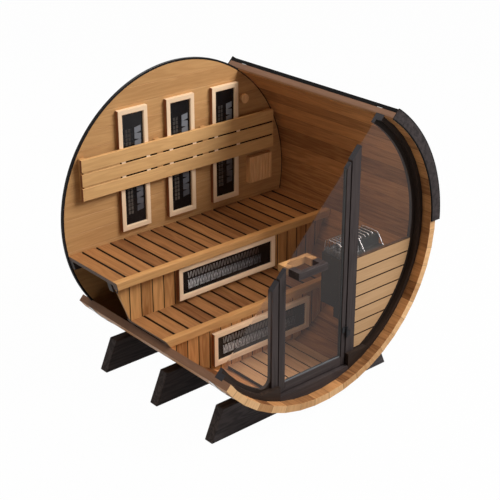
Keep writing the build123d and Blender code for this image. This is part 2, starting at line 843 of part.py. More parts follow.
# Hinge: a bracket with its pin on the right post, and a knuckled plate on the leaf
hinge_x = leaf_right + hinge_gap / 2
hinge_depth = front_wall_face - hinge_standoff
hinge_bottom = axis_height + floor_level + hinge_rise
hinge_middle = hinge_bottom + hinge_height / 2
plate_face = front_wall_face - hinge_plate
with BuildPart() as hinge_bracket:
    with BuildSketch(Plane.XY.offset(hinge_bottom)):
        with Locations((hinge_x, hinge_depth)):
            Circle(knuckle_radius)
        with Locations((hinge_x + hinge_reach / 2, (plate_face + front_wall_face) / 2)):
            Rectangle(hinge_reach, hinge_plate)
    extrude(amount=hinge_height / 2 - knuckle_clearance)
    with BuildSketch(Plane.XY.offset(hinge_bottom)):
        with Locations((hinge_x, hinge_depth)):
            Circle(pin_radius)
    extrude(amount=hinge_height)
write(hinge_bracket, "hinge_bracket")

with BuildPart() as hinge_plate_leaf:
    with BuildSketch(Plane.XY.offset(hinge_middle)):
        with Locations((hinge_x, hinge_depth)):
            Circle(knuckle_radius)
        with Locations((hinge_x - hinge_reach / 2, (plate_face + front_wall_face) / 2)):
            Rectangle(hinge_reach, hinge_plate)
        with Locations((hinge_x, hinge_depth)):
            Circle(pin_radius + pin_clearance, mode=Mode.SUBTRACT)
    extrude(amount=hinge_height / 2)
write(hinge_plate_leaf, "hinge_plate")

# Handle: a flat pull on each face of the glass, dark outside and pale inside
handle_left = glass_left + handle_offset
cut_level = (cut_distance - handle_left * cut_x) / cut_z
handle_level = axis_height + cut_level - handle_cut_gap - handle_height / 2
handle_middle = handle_left + handle_length / 2
handle_faces = {
    "handle_outside": (pane_face, -1),
    "handle_inside": (pane_face + pane_thickness, 1),
}
for name, (face, outward) in handle_faces.items():
    reach = outward * handle_reach
    bar = outward * (handle_reach - handle_bar)
    with BuildPart() as handle:
        with BuildSketch(Plane.XY.offset(handle_level)):
            with Locations((handle_middle, face + reach / 2)):
                Rectangle(handle_length, handle_reach)
            with Locations((handle_middle, face + bar / 2)):
                Rectangle(
                    handle_length - 2 * handle_leg, handle_reach - handle_bar, mode=Mode.SUBTRACT
                )
        extrude(amount=handle_height)
        outer_edges = handle.edges().filter_by(Axis.X).group_by(Axis.Y)[0 if outward < 0 else -1]
        chamfer(outer_edges, length=handle_edge)
    write(handle, name)
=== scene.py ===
"""Dresses the cutaway barrel sauna in timber, steel, stone and glass, and adds the finer pieces."""

import logging
import math
from dataclasses import dataclass, field
from enum import Enum

import bmesh
import bpy
import numpy as np
from mathutils import Euler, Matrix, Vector


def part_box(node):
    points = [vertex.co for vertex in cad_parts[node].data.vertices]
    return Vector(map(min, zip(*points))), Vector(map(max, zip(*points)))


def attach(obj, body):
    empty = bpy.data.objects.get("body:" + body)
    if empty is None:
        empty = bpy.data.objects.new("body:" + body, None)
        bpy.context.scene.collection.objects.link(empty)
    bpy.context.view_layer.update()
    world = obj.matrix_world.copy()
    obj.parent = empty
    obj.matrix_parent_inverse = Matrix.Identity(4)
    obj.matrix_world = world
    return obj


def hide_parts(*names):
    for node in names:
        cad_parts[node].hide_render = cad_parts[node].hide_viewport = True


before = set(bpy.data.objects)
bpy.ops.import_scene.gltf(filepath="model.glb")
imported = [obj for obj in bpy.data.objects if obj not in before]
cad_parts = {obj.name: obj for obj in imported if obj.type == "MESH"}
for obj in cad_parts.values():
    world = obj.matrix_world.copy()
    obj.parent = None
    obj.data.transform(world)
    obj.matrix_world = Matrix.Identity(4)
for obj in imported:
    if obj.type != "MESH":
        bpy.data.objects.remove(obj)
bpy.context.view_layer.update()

LOG = logging.getLogger("barrel_sauna")

Colour = tuple[float, float, float]
Socket = bpy.types.NodeSocket
Value = Socket | float | tuple
Faces = list[list[int]]

# Geometry of the barrel that several pieces and finishes share, in metres and degrees
WALL_LOW, WALL_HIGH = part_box("back_wall")
AXIS_HEIGHT = (WALL_LOW.z + WALL_HIGH.z) / 2
WALL_RADIUS = (WALL_HIGH.z - WALL_LOW.z) / 2
SHELL_RADIUS = AXIS_HEIGHT - min(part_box("staves_even")[0].z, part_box("staves_odd")[0].z)
STAVE_THICKNESS = 0.05
SHELL_INNER = SHELL_RADIUS - STAVE_THICKNESS
SHELL_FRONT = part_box("staves_even")[0].y
SHELL_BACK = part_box("staves_even")[1].y
STAVE_TURN = 7.5
CUT_ANGLE = 136.4
CUT_DISTANCE = 0.1737
FIXED = "sauna"
LEAF = "door"

# Distances and angles up to which points count as one, faces as flat and edges as soft
SAME_POINT = 1e-6
SAME_CORNER = 1e-5
FLAT_ANGLE = math.radians(0.5)
SOFT_ANGLE = math.radians(40)

# Grain: each board's own shift, and the scales of its layers along, across and through the board
BOARD_SHIFT = (3.17, 1.73, 0.91)
SLOW_GRAIN = (1.3, 13.0, 13.0)
STREAK_GRAIN = (1.9, 55.0, 55.0)
FIBRE_GRAIN = (16.0, 520.0, 520.0)
FIGURE_WAVES = 42.0
DICE_START = 0.37

# Distances from a sawn end, a cut and a flank, far and near, between which its own colour comes in, in
# metres; a flank's colour is painted shade
END_FADE = (0.0012, 0.0006)
CUT_FADE = (0.0016, 0.0008)
FLANK_FADE = (0.0008, 0.0002)

# Widths over which a rim and an outline come in, the skin of a pane and the depth of fine relief, in metres
RIM_FADE = 0.001
OUTLINE_FADE = 0.002
GLASS_SKIN = 0.0002
RELIEF_DEPTH = 0.002

# Mottling: how far the saw's marks are drawn out, their two scales, their pale and deep shares, and the span
# of noise that takes other surfaces from one colour to the other
SAW_DRAG = (1.0, 0.06, 1.0)
SAW_COARSE, SAW_FINE = 40.0, 170.0
SAW_SHARES = (1.35, 0.65)
MOTTLE_STEP = (0.32, 0.68)

# Colours of the timber, as light and dark tones
CEDAR_WALL = ((0.60, 0.345, 0.145), (0.36, 0.175, 0.062))
CEDAR_REST = ((0.70, 0.420, 0.180), (0.50, 0.270, 0.105))
# Painted shade on the left-facing sides of the heater frames and the backrest's left end
PAINTED_FLANK_SHADE = (0.26, 0.105, 0.045)
CEDAR_GRIP = ((0.54, 0.310, 0.125), (0.41, 0.220, 0.082))
CEDAR_BENCH = ((0.37, 0.172, 0.064), (0.150, 0.057, 0.019))
CEDAR_TRIM = ((0.60, 0.330, 0.128), (0.42, 0.205, 0.072))
CEDAR_SKIRT = ((0.64, 0.330, 0.120), (0.26, 0.105, 0.031))
CEDAR_SHELL = ((0.62, 0.300, 0.115), (0.13, 0.047, 0.014))
CEDAR_END = ((0.88, 0.540, 0.265), (0.50, 0.255, 0.103))
CEDAR_FLOOR = ((0.56, 0.345, 0.180), (0.32, 0.168, 0.078))
PALE_BOARD = ((0.59, 0.372, 0.202), (0.44, 0.260, 0.126))
FRAME_WOOD = ((0.90, 0.690, 0.480), (0.76, 0.540, 0.350))
STAINED = ((0.034, 0.022, 0.017), (0.012, 0.008, 0.006))
STAINED_POST = ((0.062, 0.048, 0.047), (0.018, 0.014, 0.014))
CRADLE_STAIN = ((0.092, 0.078, 0.080), (0.020, 0.017, 0.018))
SAWN_FACE = (0.280, 0.160, 0.105)
SAWN_STAIN = (0.040, 0.040, 0.048)
SAWN_END = (0.110, 0.066, 0.045)
JOINT_BROWN = (0.050, 0.024, 0.011)
SHADOW = (0.012, 0.006, 0.003)
PITCH = (0.004, 0.004, 0.004)

# Colours of the glass, and of the weak glow that paints an even sheen on it
PALE_SMOKE = (0.80, 0.77, 0.75)
SMOKE = (0.60, 0.56, 0.54)
GLASS_SHEEN_GLOW = (0.020, 0.019, 0.019)


def cut_height(x: np.ndarray) -> np.ndarray:
    """Height of the slanted cut at each place x, where x cos a + (z - axis) sin a is the cut's distance.

    Args:
        x: Places across the barrel, in metres.

    Returns:
        The heights of the cut plane there.
    """
    turn = math.radians(CUT_ANGLE)
    return AXIS_HEIGHT + (CUT_DISTANCE - x * math.cos(turn)) / math.sin(turn)


def ring_faces(rows: int, columns: int) -> np.ndarray:
    """Faces between rings of points, each joining a point to the next in its ring and the two beside them.

    Args:
        rows: Number of rings.
        columns: Number of points in a ring.

    Returns:
        One row of four point numbers for each face.
    """
    row, column = np.meshgrid(np.arange(rows - 1), np.arange(columns), indexing="ij")
    this_ring, next_ring = row * columns, (row + 1) * columns
    next_column = (column + 1) % columns
    corners = (this_ring + column, next_ring + column, next_ring + next_column, this_ring + next_column)
    return np.stack(corners, -1).reshape(-1, 4)


def tubes(rings: np.ndarray) -> tuple[np.ndarray, Faces]:
    """Solids swept through rings of points: side faces from each ring to the next, and a cap at both ends.

    Args:
        rings: Points, shaped (solids, stations, points in a ring, 3).

    Returns:
        All points in one list, and the faces that join them.
    """
    count, stations, around = rings.shape[:3]
    first = np.arange(count) * stations * around
    sides = ring_faces(stations, around)
    faces = (sides[None] + first[:, None, None]).reshape(-1, 4).tolist()
    for cap in (np.arange(around)[::-1], np.arange(around) + (stations - 1) * around):
        faces += (cap[None] + first[:, None]).tolist()
    return rings.reshape(-1, 3), faces


def bars(starts: np.ndarray, ends: np.ndarray, side: np.ndarray, rise: np.ndarray) -> np.ndarray:
    """Rings of straight four-sided bars: each end point moved by plus and minus half the two section vectors.

    Args:
        starts: One end of each bar, shaped (bars, 3).
        ends: The other end of each bar.
        side: Full section vector across the bars, for all or for each.
        rise: Full section vector through the bars' thickness, for all or for each.

    Returns:
        Rings for tubes(), shaped (bars, 2, 4, 3).
    """
    side = np.broadcast_to(side, starts.shape) / 2
    rise = np.broadcast_to(rise, starts.shape) / 2
    corners = np.stack([-side - rise, side - rise, side + rise, rise - side], 1)
    return np.stack([starts[:, None] + corners, ends[:, None] + corners], 1)


def make_piece(name: str, shape: tuple[np.ndarray, Faces], material: bpy.types.Material,
               body: str = FIXED, stands_for: tuple[str, ...] = (), smooth_below: float = 0.0,
               grain: np.ndarray | None = None, board: np.ndarray | None = None) -> None:
    """Puts a computed surface into the scene as one piece of the sauna.

    Args:
        name: Name of the piece.
        shape: Points and faces.
        material: Its finish.
        body: Body that it moves with.
        stands_for: Frame nodes that it stands for.
        smooth_below: Edges flatter than this many degrees are shaded smooth.
        grain: Place of each point along, across and through its own board, for the grain.
        board: Number of each point's board, or its share of the way along a row, for the tone.
    """
    points, faces = shape
    mesh = bpy.data.meshes.new(name)
    mesh.from_pydata(points.tolist(), [], faces)
    if grain is not None:
        mesh.attributes.new("grain", "FLOAT_VECTOR", "POINT").data.foreach_set("vector", grain.ravel())
    if board is not None:
        mesh.attributes.new("board", "FLOAT", "POINT").data.foreach_set("value", board.ravel())
    work = bmesh.new()
    work.from_mesh(mesh)
    if smooth_below:
        bmesh.ops.remove_doubles(work, verts=work.verts, dist=SAME_POINT)
    bmesh.ops.recalc_face_normals(work, faces=work.faces)
    work.to_mesh(mesh)
    work.free()
    if smooth_below:
        mesh.shade_smooth()
        mesh.set_sharp_from_angle(angle=math.radians(smooth_below))
    mesh.materials.append(material)
    piece = bpy.data.objects.new(name, mesh)
    bpy.context.scene.collection.objects.link(piece)
    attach(piece, body)
    if stands_for:
        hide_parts(*stands_for)
    LOG.info("made %s: %d faces", name, len(faces))


def dress(material: bpy.types.Material, *nodes: str) -> None:
    """Gives frame nodes a finish.

    Args:
        material: The finish.
        *nodes: Names of the nodes.
    """
    for node in nodes:
        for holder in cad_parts[node].material_slots:
            holder.material = material
        LOG.info("dressed %s in %s", node, material.name)


def ease(width: float, *nodes: str) -> None:
    """Rounds the sharp edges of frame nodes so that they catch the light, without moving a face.

    Args:
        width: Width of the rounding, in metres.
        *nodes: Names of the nodes.
    """
    for node in nodes:
        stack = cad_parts[node].modifiers
        stack.new("merge", "WELD").merge_threshold = SAME_CORNER
        flatten = stack.new("flatten", "DECIMATE")
        flatten.decimate_type = "DISSOLVE"
        flatten.angle_limit = FLAT_ANGLE
        rounding = stack.new("ease", "BEVEL")
        rounding.width = width
        rounding.segments = 2
        rounding.limit_method = "ANGLE"
        rounding.angle_limit = SOFT_ANGLE


class Graph:
    """Adds nodes to one node tree and joins them."""

    def __init__(self, tree: bpy.types.NodeTree) -> None:
        """Keeps the tree that the nodes go into."""
        self.tree = tree

    def add(self, kind: str, **settings: object) -> bpy.types.Node:
        """Adds a shader node.

        Args:
            kind: The node's type, without its common prefix.
            **settings: Properties to set on it.

        Returns:
            The node.
        """
        node = self.tree.nodes.new("ShaderNode" + kind)
        for name, value in settings.items():
            setattr(node, name, value)
        return node

    def feed(self, socket: Socket, value: Value) -> None:
        """Joins a socket to another one, or sets it to a number or colour.

        Args:
            socket: The input.
            value: What it gets.
        """
        if isinstance(value, bpy.types.NodeSocket):
            self.tree.links.new(value, socket)
        elif socket.type == "RGBA":
            socket.default_value = (*value, 1.0)
        else:
            socket.default_value = value

    def math(self, operation: str, *values: Value) -> Socket:
        """The result of a sum on one to three values.

        Args:
            operation: Blender's name for it.
            *values: What goes in.

        Returns:
            The result.
        """
        node = self.add("Math", operation=operation)
        for socket, value in zip(node.inputs, values):
            self.feed(socket, value)
        return node.outputs[0]

    def step(self, value: Value, low: float, high: float) -> Socket:
        """A smooth step: 0 below low, 1 above high, and the other way round where low is the larger.

        Args:
            value: What is measured.
            low: Where the result is 0.
            high: Where the result is 1.

        Returns:
            The result, from 0 to 1.
        """
        node = self.add("MapRange", interpolation_type="SMOOTHSTEP")
        for name, setting in (("Value", value), ("From Min", min(low, high)), ("From Max", max(low, high)),
                              ("To Min", float(low > high)), ("To Max", float(low <= high))):
            self.feed(node.inputs[name], setting)
        return node.outputs[0]

    def mix(self, factor: Value, first: Value, second: Value) -> Socket:
        """A mixture of two colours.

        Args:
            factor: Share of the second.
            first: The first colour.
            second: The second colour.

        Returns:
            The mixed colour.
        """
        node = self.add("Mix", data_type="RGBA")
        for number, value in ((0, factor), (6, first), (7, second)):
            self.feed(node.inputs[number], value)
        return node.outputs[2]

    def stretch(self, vector: Socket, scale: Colour) -> Socket:
        """A place scaled apart along its three axes.

        Args:
            vector: The place.
            scale: The three scales.

        Returns:
            The scaled place.
        """
        node = self.add("VectorMath", operation="MULTIPLY")
        self.feed(node.inputs[0], vector)
        self.feed(node.inputs[1], scale)
        return node.outputs[0]

    def noise(self, vector: Socket, scale: Value = 1.0, detail: float = 2.0,
              distortion: float = 0.0) -> Socket:
        """Soft noise from 0 to 1.

        Args:
            vector: Where it is read.
            scale: Its grain per metre.
            detail: How many finer layers it has.
            distortion: How far it is pulled about.

        Returns:
            The noise.
        """
        node = self.add("TexNoise")
        settings = {"Vector": vector, "Scale": scale, "Detail": detail, "Distortion": distortion}
        for name, value in settings.items():
            self.feed(node.inputs[name], value)
        return node.outputs["Fac"]

    def dice(self, number: Socket) -> Socket:
        """A random value from 0 to 1, always the same for the same number."""
        node = self.add("TexWhiteNoise", noise_dimensions="1D")
        self.feed(node.inputs["W"], number)
        return node.outputs["Value"]

    def attribute(self, name: str, output: str) -> Socket:
        """A value that the points of a piece carry."""
        return self.add("Attribute", attribute_name=name).outputs[output]

    def split(self, vector: Socket) -> tuple[Socket, ...]:
        """The three values of a vector."""
        node = self.add("SeparateXYZ")
        self.feed(node.inputs[0], vector)
        return tuple(node.outputs)

    def combine(self, x: Value, y: Value, z: Value) -> Socket:
        """A vector from three values."""
        node = self.add("CombineXYZ")
        for socket, value in zip(node.inputs, (x, y, z)):
            self.feed(socket, value)
        return node.outputs[0]

    def relief(self, shader: bpy.types.Node, height: Socket, strength: float) -> None:
        """Gives a shader a fine relief.

        Args:
            shader: The principled shader.
            height: Height of the surface, from 0 to 1.
            strength: How strongly it shows.
        """
        bump = self.add("Bump")
        bump.inputs["Strength"].default_value = strength
        bump.inputs["Distance"].default_value = RELIEF_DEPTH
        self.feed(bump.inputs["Height"], height)
        self.feed(shader.inputs["Normal"], bump.outputs[0])

    def place(self, tree: bpy.types.NodeTree, **inputs: Value) -> dict[str, Socket]:
        """Places a node group with its own values.

        Args:
            tree: The group.
            **inputs: What its named inputs get.

        Returns:
            Its outputs by name.
        """
        node = self.add("Group", node_tree=tree)
        for name, value in inputs.items():
            self.feed(node.inputs[name], value)
        return {socket.name: socket for socket in node.outputs}


class EffectGroup:
    """A shader node group with named inputs and outputs, built once."""

    def __init__(self, name: str, inputs: dict[str, str], outputs: dict[str, str]) -> None:
        """Makes the empty group.

        Args:
            name: Its name.
            inputs: Kind of each input socket by name.
            outputs: Kind of each output socket by name.
        """
        self.tree = bpy.data.node_groups.new(name, "ShaderNodeTree")
        for names, way in ((inputs, "INPUT"), (outputs, "OUTPUT")):
            for label, kind in names.items():
                self.tree.interface.new_socket(label, in_out=way, socket_type="NodeSocket" + kind)
        self.graph = Graph(self.tree)
        source = self.tree.nodes.new("NodeGroupInput")
        self.given = {socket.name: socket for socket in source.outputs if socket.name}
        self.target = self.tree.nodes.new("NodeGroupOutput")

    def give(self, **results: Socket) -> bpy.types.NodeTree:
        """Joins the group's outputs.

        Args:
            **results: What each named output gives.

        Returns:
            The finished group.
        """
        for name, value in results.items():
            self.graph.feed(self.target.inputs[name], value)
        return self.tree


def barrel_group() -> bpy.types.NodeTree:
    """Where a point lies in the barrel: its turn in degrees, its radius and its height over the slanted cut.

    Returns:
        The node group.
    """
    group = EffectGroup("barrel place", {"Vector": "Vector"},
                        {"Turn": "Float", "Radius": "Float", "Cut": "Float"})
    graph = group.graph
    across, _, above_ground = graph.split(group.given["Vector"])
    height = graph.math("SUBTRACT", above_ground, AXIS_HEIGHT)
    turn = graph.math("DEGREES", graph.math("ARCTAN2", height, across))
    square = graph.math("MULTIPLY", height, height)
    radius = graph.math("SQRT", graph.math("MULTIPLY_ADD", across, across, square))
    slope = math.radians(CUT_ANGLE)
    level = graph.math("MULTIPLY_ADD", height, math.sin(slope), -CUT_DISTANCE)
    cut = graph.math("MULTIPLY_ADD", across, math.cos(slope), level)
    return group.give(Turn=turn, Radius=radius, Cut=cut)


def row_group() -> bpy.types.NodeTree:
    """Counts off the boards of a row from mid-gap: the board's number, and 1 in the dark band at its joints,
    where the joint colour or the painted gap shade goes.

    Returns:
        The node group.
    """
    inputs = dict.fromkeys(("Across", "Start", "Pitch", "Dark", "Fade"), "Float")
    group = EffectGroup("board row", inputs, {"Board": "Float", "Joint": "Float"})
    graph, given = group.graph, group.given
    count = graph.math("DIVIDE", graph.math("SUBTRACT", given["Across"], given["Start"]), given["Pitch"])
    board = graph.math("FLOOR", count)
    share = graph.math("SUBTRACT", count, board)
    near = graph.math("MINIMUM", share, graph.math("SUBTRACT", 1.0, share))
    beyond = graph.math("SUBTRACT", graph.math("MULTIPLY", near, given["Pitch"]), given["Dark"])
    reach = graph.math("MAXIMUM", graph.math("DIVIDE", beyond, given["Fade"]), 0.0)
    joint = graph.math("SUBTRACT", 1.0, graph.math("MINIMUM", reach, 1.0))
    return group.give(Board=board, Joint=joint)


def grain_group() -> bpy.types.NodeTree:
    """Timber: growth figure, fibres and slow streaks along the board, and a tone of its own for each board.

    Returns:
        The node group.
    """
    group = EffectGroup("timber grain",
                        {"Vector": "Vector", "Board": "Float", "Light": "Color", "Dark": "Color",
                         "Spread": "Float", "Figure": "Float"},
                        {"Color": "Color", "Tone": "Float", "Height": "Float"})
    graph, given = group.graph, group.given
    shift = graph.add("VectorMath", operation="MULTIPLY_ADD")
    graph.feed(shift.inputs[0], graph.combine(given["Board"], given["Board"], given["Board"]))
    shift.inputs[1].default_value = BOARD_SHIFT
    graph.feed(shift.inputs[2], given["Vector"])
    place = shift.outputs[0]
    slow = graph.noise(graph.stretch(place, SLOW_GRAIN), detail=3.0, distortion=0.4)
    wave = graph.math("SINE", graph.math("MULTIPLY", slow, FIGURE_WAVES))
    rings = graph.math("MULTIPLY_ADD", wave, 0.5, 0.5)
    streak = graph.noise(graph.stretch(place, STREAK_GRAIN), detail=3.0)
    fibre = graph.noise(graph.stretch(place, FIBRE_GRAIN), detail=2.0)
    chance = graph.dice(graph.math("ADD", given["Board"], DICE_START))
    own = graph.math("MULTIPLY", graph.math("SUBTRACT", chance, 0.5), given["Spread"])
    tone = graph.math("MULTIPLY_ADD", graph.math("SUBTRACT", rings, 0.5), given["Figure"], 0.5)
    for layer, weight in ((slow, 0.5), (streak, 0.5), (fibre, 0.3)):
        tone = graph.math("MULTIPLY_ADD", graph.math("SUBTRACT", layer, 0.5), weight, tone)
    tone = graph.math("ADD", tone, own)
    clamp = graph.add("Clamp")
    graph.feed(clamp.inputs["Value"], tone)
    tone = clamp.outputs[0]
    colour = graph.mix(tone, given["Dark"], given["Light"])
    height = graph.math("MULTIPLY_ADD", fibre, 0.6, graph.math("MULTIPLY", rings, 0.4))
    return group.give(Color=colour, Tone=tone, Height=height)


def speckle_group() -> bpy.types.NodeTree:
    """Fine mottling of cast, sawn and painted surfaces at two scales.

    Returns:
        The node group.
    """
    group = EffectGroup("mottle", {"Vector": "Vector", "Coarse": "Float", "Fine": "Float"},
                        {"Cloud": "Float", "Speck": "Float"})
    graph, given = group.graph, group.given
    cloud = graph.noise(given["Vector"], given["Coarse"], detail=3.0)
    speck = graph.noise(given["Vector"], given["Fine"], detail=2.0)
    return group.give(Cloud=cloud, Speck=speck)


BARREL = barrel_group()
ROW = row_group()
GRAIN = grain_group()
MOTTLE = speckle_group()


class GrainRun(Enum):
    """Which way the fibres of a timber piece run."""

    ALONG_X = "along x"
    ALONG_Y = "along y"
    ALONG_Z = "along z"
    STAVE = "stave"
    RIM = "rim"
    OWN = "own"


class RowAxis(Enum):
    """The coordinate that counts off the boards of a row."""

    X = "x"
    Z = "z"
    TURN = "turn"


@dataclass(frozen=True)
class BoardRow:
    """A row of boards: the coordinate across it, a mid-gap, its pitch, half the width of the dark band at a
    joint, and its fade.
    """

    axis: RowAxis
    start: float
    pitch: float
    dark: float = 0.002
    fade: float = 0.0015


@dataclass(frozen=True)
class TimberFinish:
    """Planed timber: its grain, its boards' own tones, their joints with painted shade in the gaps, the
    colours of ends and cuts, a rim colour (painted shade at the back wall's edge), and painted shade on one
    flank.
    """

    name: str
    light: Colour
    dark: Colour
    run: GrainRun
    row: BoardRow | None = None
    spread: float = 0.3
    figure: float = 0.28
    roughness: float = 0.55
    gloss: float = 0.2
    relief: float = 0.12
    # SHADOW paints shade over the sides of the gaps and a strip beside them
    joint_and_shade_colour: Colour = SHADOW
    joint_strength: float = 1.0
    sawn: Colour | None = None
    end_grain: tuple[Colour, Colour] | None = None
    rim: tuple[float, Colour] | None = None
    # Axis, limit and colour of painted shade on one flank
    flank: tuple[int, float, Colour] | None = None

    def sawn_colour(self, graph: Graph, place: Socket) -> Socket:
        """The mottled colour of a cut face.

        Args:
            graph: The material's tree.
            place: Where it is read.

        Returns:
            The colour.
        """
        mottle = graph.place(MOTTLE, Vector=graph.stretch(place, SAW_DRAG), Coarse=SAW_COARSE, Fine=SAW_FINE)
        cloud = graph.math("MULTIPLY", mottle["Cloud"], 0.4)
        blend = graph.math("MULTIPLY_ADD", mottle["Speck"], 0.6, cloud)
        pale, deep = (tuple(channel * share for channel in self.sawn) for share in SAW_SHARES)
        return graph.mix(blend, deep, pale)

    def build(self) -> bpy.types.Material:
        """Makes the material.

        Returns:
            The material.
        """
        material, graph, shader = start_material(self.name)
        place = graph.add("TexCoord").outputs["Object"]
        x, y, z = graph.split(place)
        barrel = graph.place(BARREL, Vector=place)
        arc = graph.math("MULTIPLY", barrel["Turn"], math.radians(SHELL_RADIUS))
        along = {
            GrainRun.ALONG_X: (x, y, z),
            GrainRun.ALONG_Y: (y, x, z),
            GrainRun.ALONG_Z: (z, x, y),
            GrainRun.STAVE: (y, arc, barrel["Radius"]),
            GrainRun.RIM: (arc, barrel["Radius"], y),
        }
        board: Value = 0.0
        joint: Value = 0.0
        if self.run is GrainRun.OWN:
            vector = graph.attribute("grain", "Vector")
            board = graph.attribute("board", "Fac")
        else:
            vector = graph.combine(*along[self.run])
        if self.row:
            across = {RowAxis.X: x, RowAxis.Z: z, RowAxis.TURN: barrel["Turn"]}[self.row.axis]
            counted = graph.place(ROW, Across=across, Start=self.row.start, Pitch=self.row.pitch,
                                  Dark=self.row.dark, Fade=self.row.fade)
            board, joint = counted["Board"], counted["Joint"]
        figure = {"Board": board, "Spread": self.spread, "Figure": self.figure}
        timber = graph.place(GRAIN, Vector=vector, Light=self.light, Dark=self.dark, **figure)
        colour = timber["Color"]
        if self.end_grain:
            light, dark = self.end_grain
            radial = graph.combine(barrel["Radius"], arc, y)
            ends = graph.place(GRAIN, Vector=radial, Light=light, Dark=dark, **figure)
            reach = graph.math("ABSOLUTE", graph.math("SUBTRACT", y, (SHELL_FRONT + SHELL_BACK) / 2))
            far, near = ((SHELL_BACK - SHELL_FRONT) / 2 - fade for fade in END_FADE)
            colour = graph.mix(graph.step(reach, far, near), colour, ends["Color"])
        # Dark joints, and painted shade over the gap sides where the joint colour is SHADOW
        if self.row:
            colour = graph.mix(graph.math("MULTIPLY", joint, self.joint_strength), colour, self.joint_and_shade_colour)
        # Painted shade on the flank, where the grain place along the axis comes below the limit
        if self.flank:
            axis, limit, tone = self.flank
            far, near = (limit + fade for fade in FLANK_FADE)
            colour = graph.mix(graph.step(graph.split(vector)[axis], far, near), colour, tone)
        # Rim colour past a radius: a sawn end colour, or painted shade where the back wall meets the shell
        if self.rim:
            limit, tone = self.rim
            colour = graph.mix(graph.step(barrel["Radius"], limit - RIM_FADE, limit), colour, tone)
        if self.sawn:
            at_cut = graph.step(graph.math("ABSOLUTE", barrel["Cut"]), *CUT_FADE)
            colour = graph.mix(at_cut, colour, self.sawn_colour(graph, place))
        graph.feed(shader.inputs["Base Color"], colour)
        shader.inputs["Specular IOR Level"].default_value = self.gloss
        rough = graph.math("MULTIPLY_ADD", timber["Tone"], -0.12, self.roughness + 0.06)
        graph.feed(shader.inputs["Roughness"], rough)
        graph.relief(shader, timber["Height"], self.relief)
        return material


@dataclass(frozen=True)
class HardFinish:
    """Metal, stone, paint or rubber: a colour mottled with a second one, its gloss and its fine relief."""

    name: str
    colour: Colour
    mottled: Colour
    roughness: float
    metallic: float = 0.0
    coarse: float = 9.0
    fine: float = 400.0
    relief: float = 0.05
    gloss: float = 0.25
    by_board: float = 0.0
    by_share: bool = False
    outline: tuple[float, float] | None = None

    def build(self) -> bpy.types.Material:
        """Makes the material.

        Returns:
            The material.
        """
        material, graph, shader = start_material(self.name)
        place = graph.add("TexCoord").outputs["Object"]
        mottle = graph.place(MOTTLE, Vector=place, Coarse=self.coarse, Fine=self.fine)
        share = graph.math("MULTIPLY_ADD", mottle["Speck"], 0.5, graph.math("MULTIPLY", mottle["Cloud"], 0.5))
        share = graph.step(share, *MOTTLE_STEP)
        if self.by_board:
            own = graph.math("MULTIPLY", graph.dice(graph.attribute("board", "Fac")), self.by_board)
            share = graph.math("MULTIPLY_ADD", share, 1.0 - self.by_board, own)
        if self.by_share:
            share = graph.attribute("board", "Fac")
        colour = graph.mix(share, self.colour, self.mottled)
        if self.outline:
            low, high = self.outline
            radius = graph.place(BARREL, Vector=place)["Radius"]
            inner = graph.step(radius, low, low - OUTLINE_FADE)
            outer = graph.step(radius, high, high + OUTLINE_FADE)
            colour = graph.mix(graph.math("MAXIMUM", inner, outer), colour, PITCH)
        graph.feed(shader.inputs["Base Color"], colour)
        shader.inputs["Specular IOR Level"].default_value = self.gloss
        shader.inputs["Metallic"].default_value = self.metallic
        rough = graph.math("MULTIPLY_ADD", mottle["Cloud"], 0.16, self.roughness - 0.08)
        graph.feed(shader.inputs["Roughness"], rough)
        graph.relief(shader, mottle["Speck"], self.relief)
        return material


@dataclass(frozen=True)
class GlassFinish:
    """Thin smoky glass with a faint even sheen painted on as a weak glow, which hardly bends light and hides
    its sawn edges.
    """

    name: str
    tint: Colour
    sheen_glow: Colour
    front: float
    back: float
    bend: float = 1.01

    def build(self) -> bpy.types.Material:
        """Makes the material.

        Returns:
            The material.
        """
        material, graph, shader = start_material(self.name)
        shader.inputs["Base Color"].default_value = (*self.tint, 1.0)
        shader.inputs["Roughness"].default_value = 0.0
        shader.inputs["Transmission Weight"].default_value = 1.0
        shader.inputs["IOR"].default_value = self.bend
        # A weak glow on every face paints an even sheen in place of reflections
        shader.inputs["Emission Color"].default_value = (*self.sheen_glow, 1.0)
        shader.inputs["Emission Strength"].default_value = 1.0
        _, y, _ = graph.split(graph.add("TexCoord").outputs["Object"])
        middle, half = (self.front + self.back) / 2, (self.back - self.front) / 2
        depth = graph.math("ABSOLUTE", graph.math("SUBTRACT", y, middle))
        graph.feed(shader.inputs["Alpha"], graph.math("GREATER_THAN", depth, half - GLASS_SKIN))
        clear = graph.add("BsdfTransparent")
        clear.inputs["Color"].default_value = (*self.tint, 1.0)
        path = graph.add("LightPath")
        blend = graph.add("MixShader")
        graph.feed(blend.inputs[0], path.outputs["Is Shadow Ray"])
        graph.feed(blend.inputs[1], shader.outputs[0])
        graph.feed(blend.inputs[2], clear.outputs[0])
        graph.feed(graph.tree.nodes["surface"].inputs["Surface"], blend.outputs[0])
        return material


def start_material(name: str) -> tuple[bpy.types.Material, Graph, bpy.types.Node]:
    """A new material with one principled shader joined to its output.

    Args:
        name: The material's name.

    Returns:
        The material, a graph on its tree and the shader.
    """
    material = bpy.data.materials.new(name)
    material.use_nodes = True
    material.node_tree.nodes.clear()
    graph = Graph(material.node_tree)
    shader = graph.add("BsdfPrincipled")
    output = graph.add("OutputMaterial", name="surface")
    graph.feed(output.inputs["Surface"], shader.outputs[0])
    return material, graph, shader


def stained(name: str, run: GrainRun, sawn: Colour | None = None) -> TimberFinish:
    """The dark stained timber of the posts and the door."""
    return TimberFinish(name, *STAINED_POST, run, sawn=sawn, roughness=0.48, gloss=0.12)


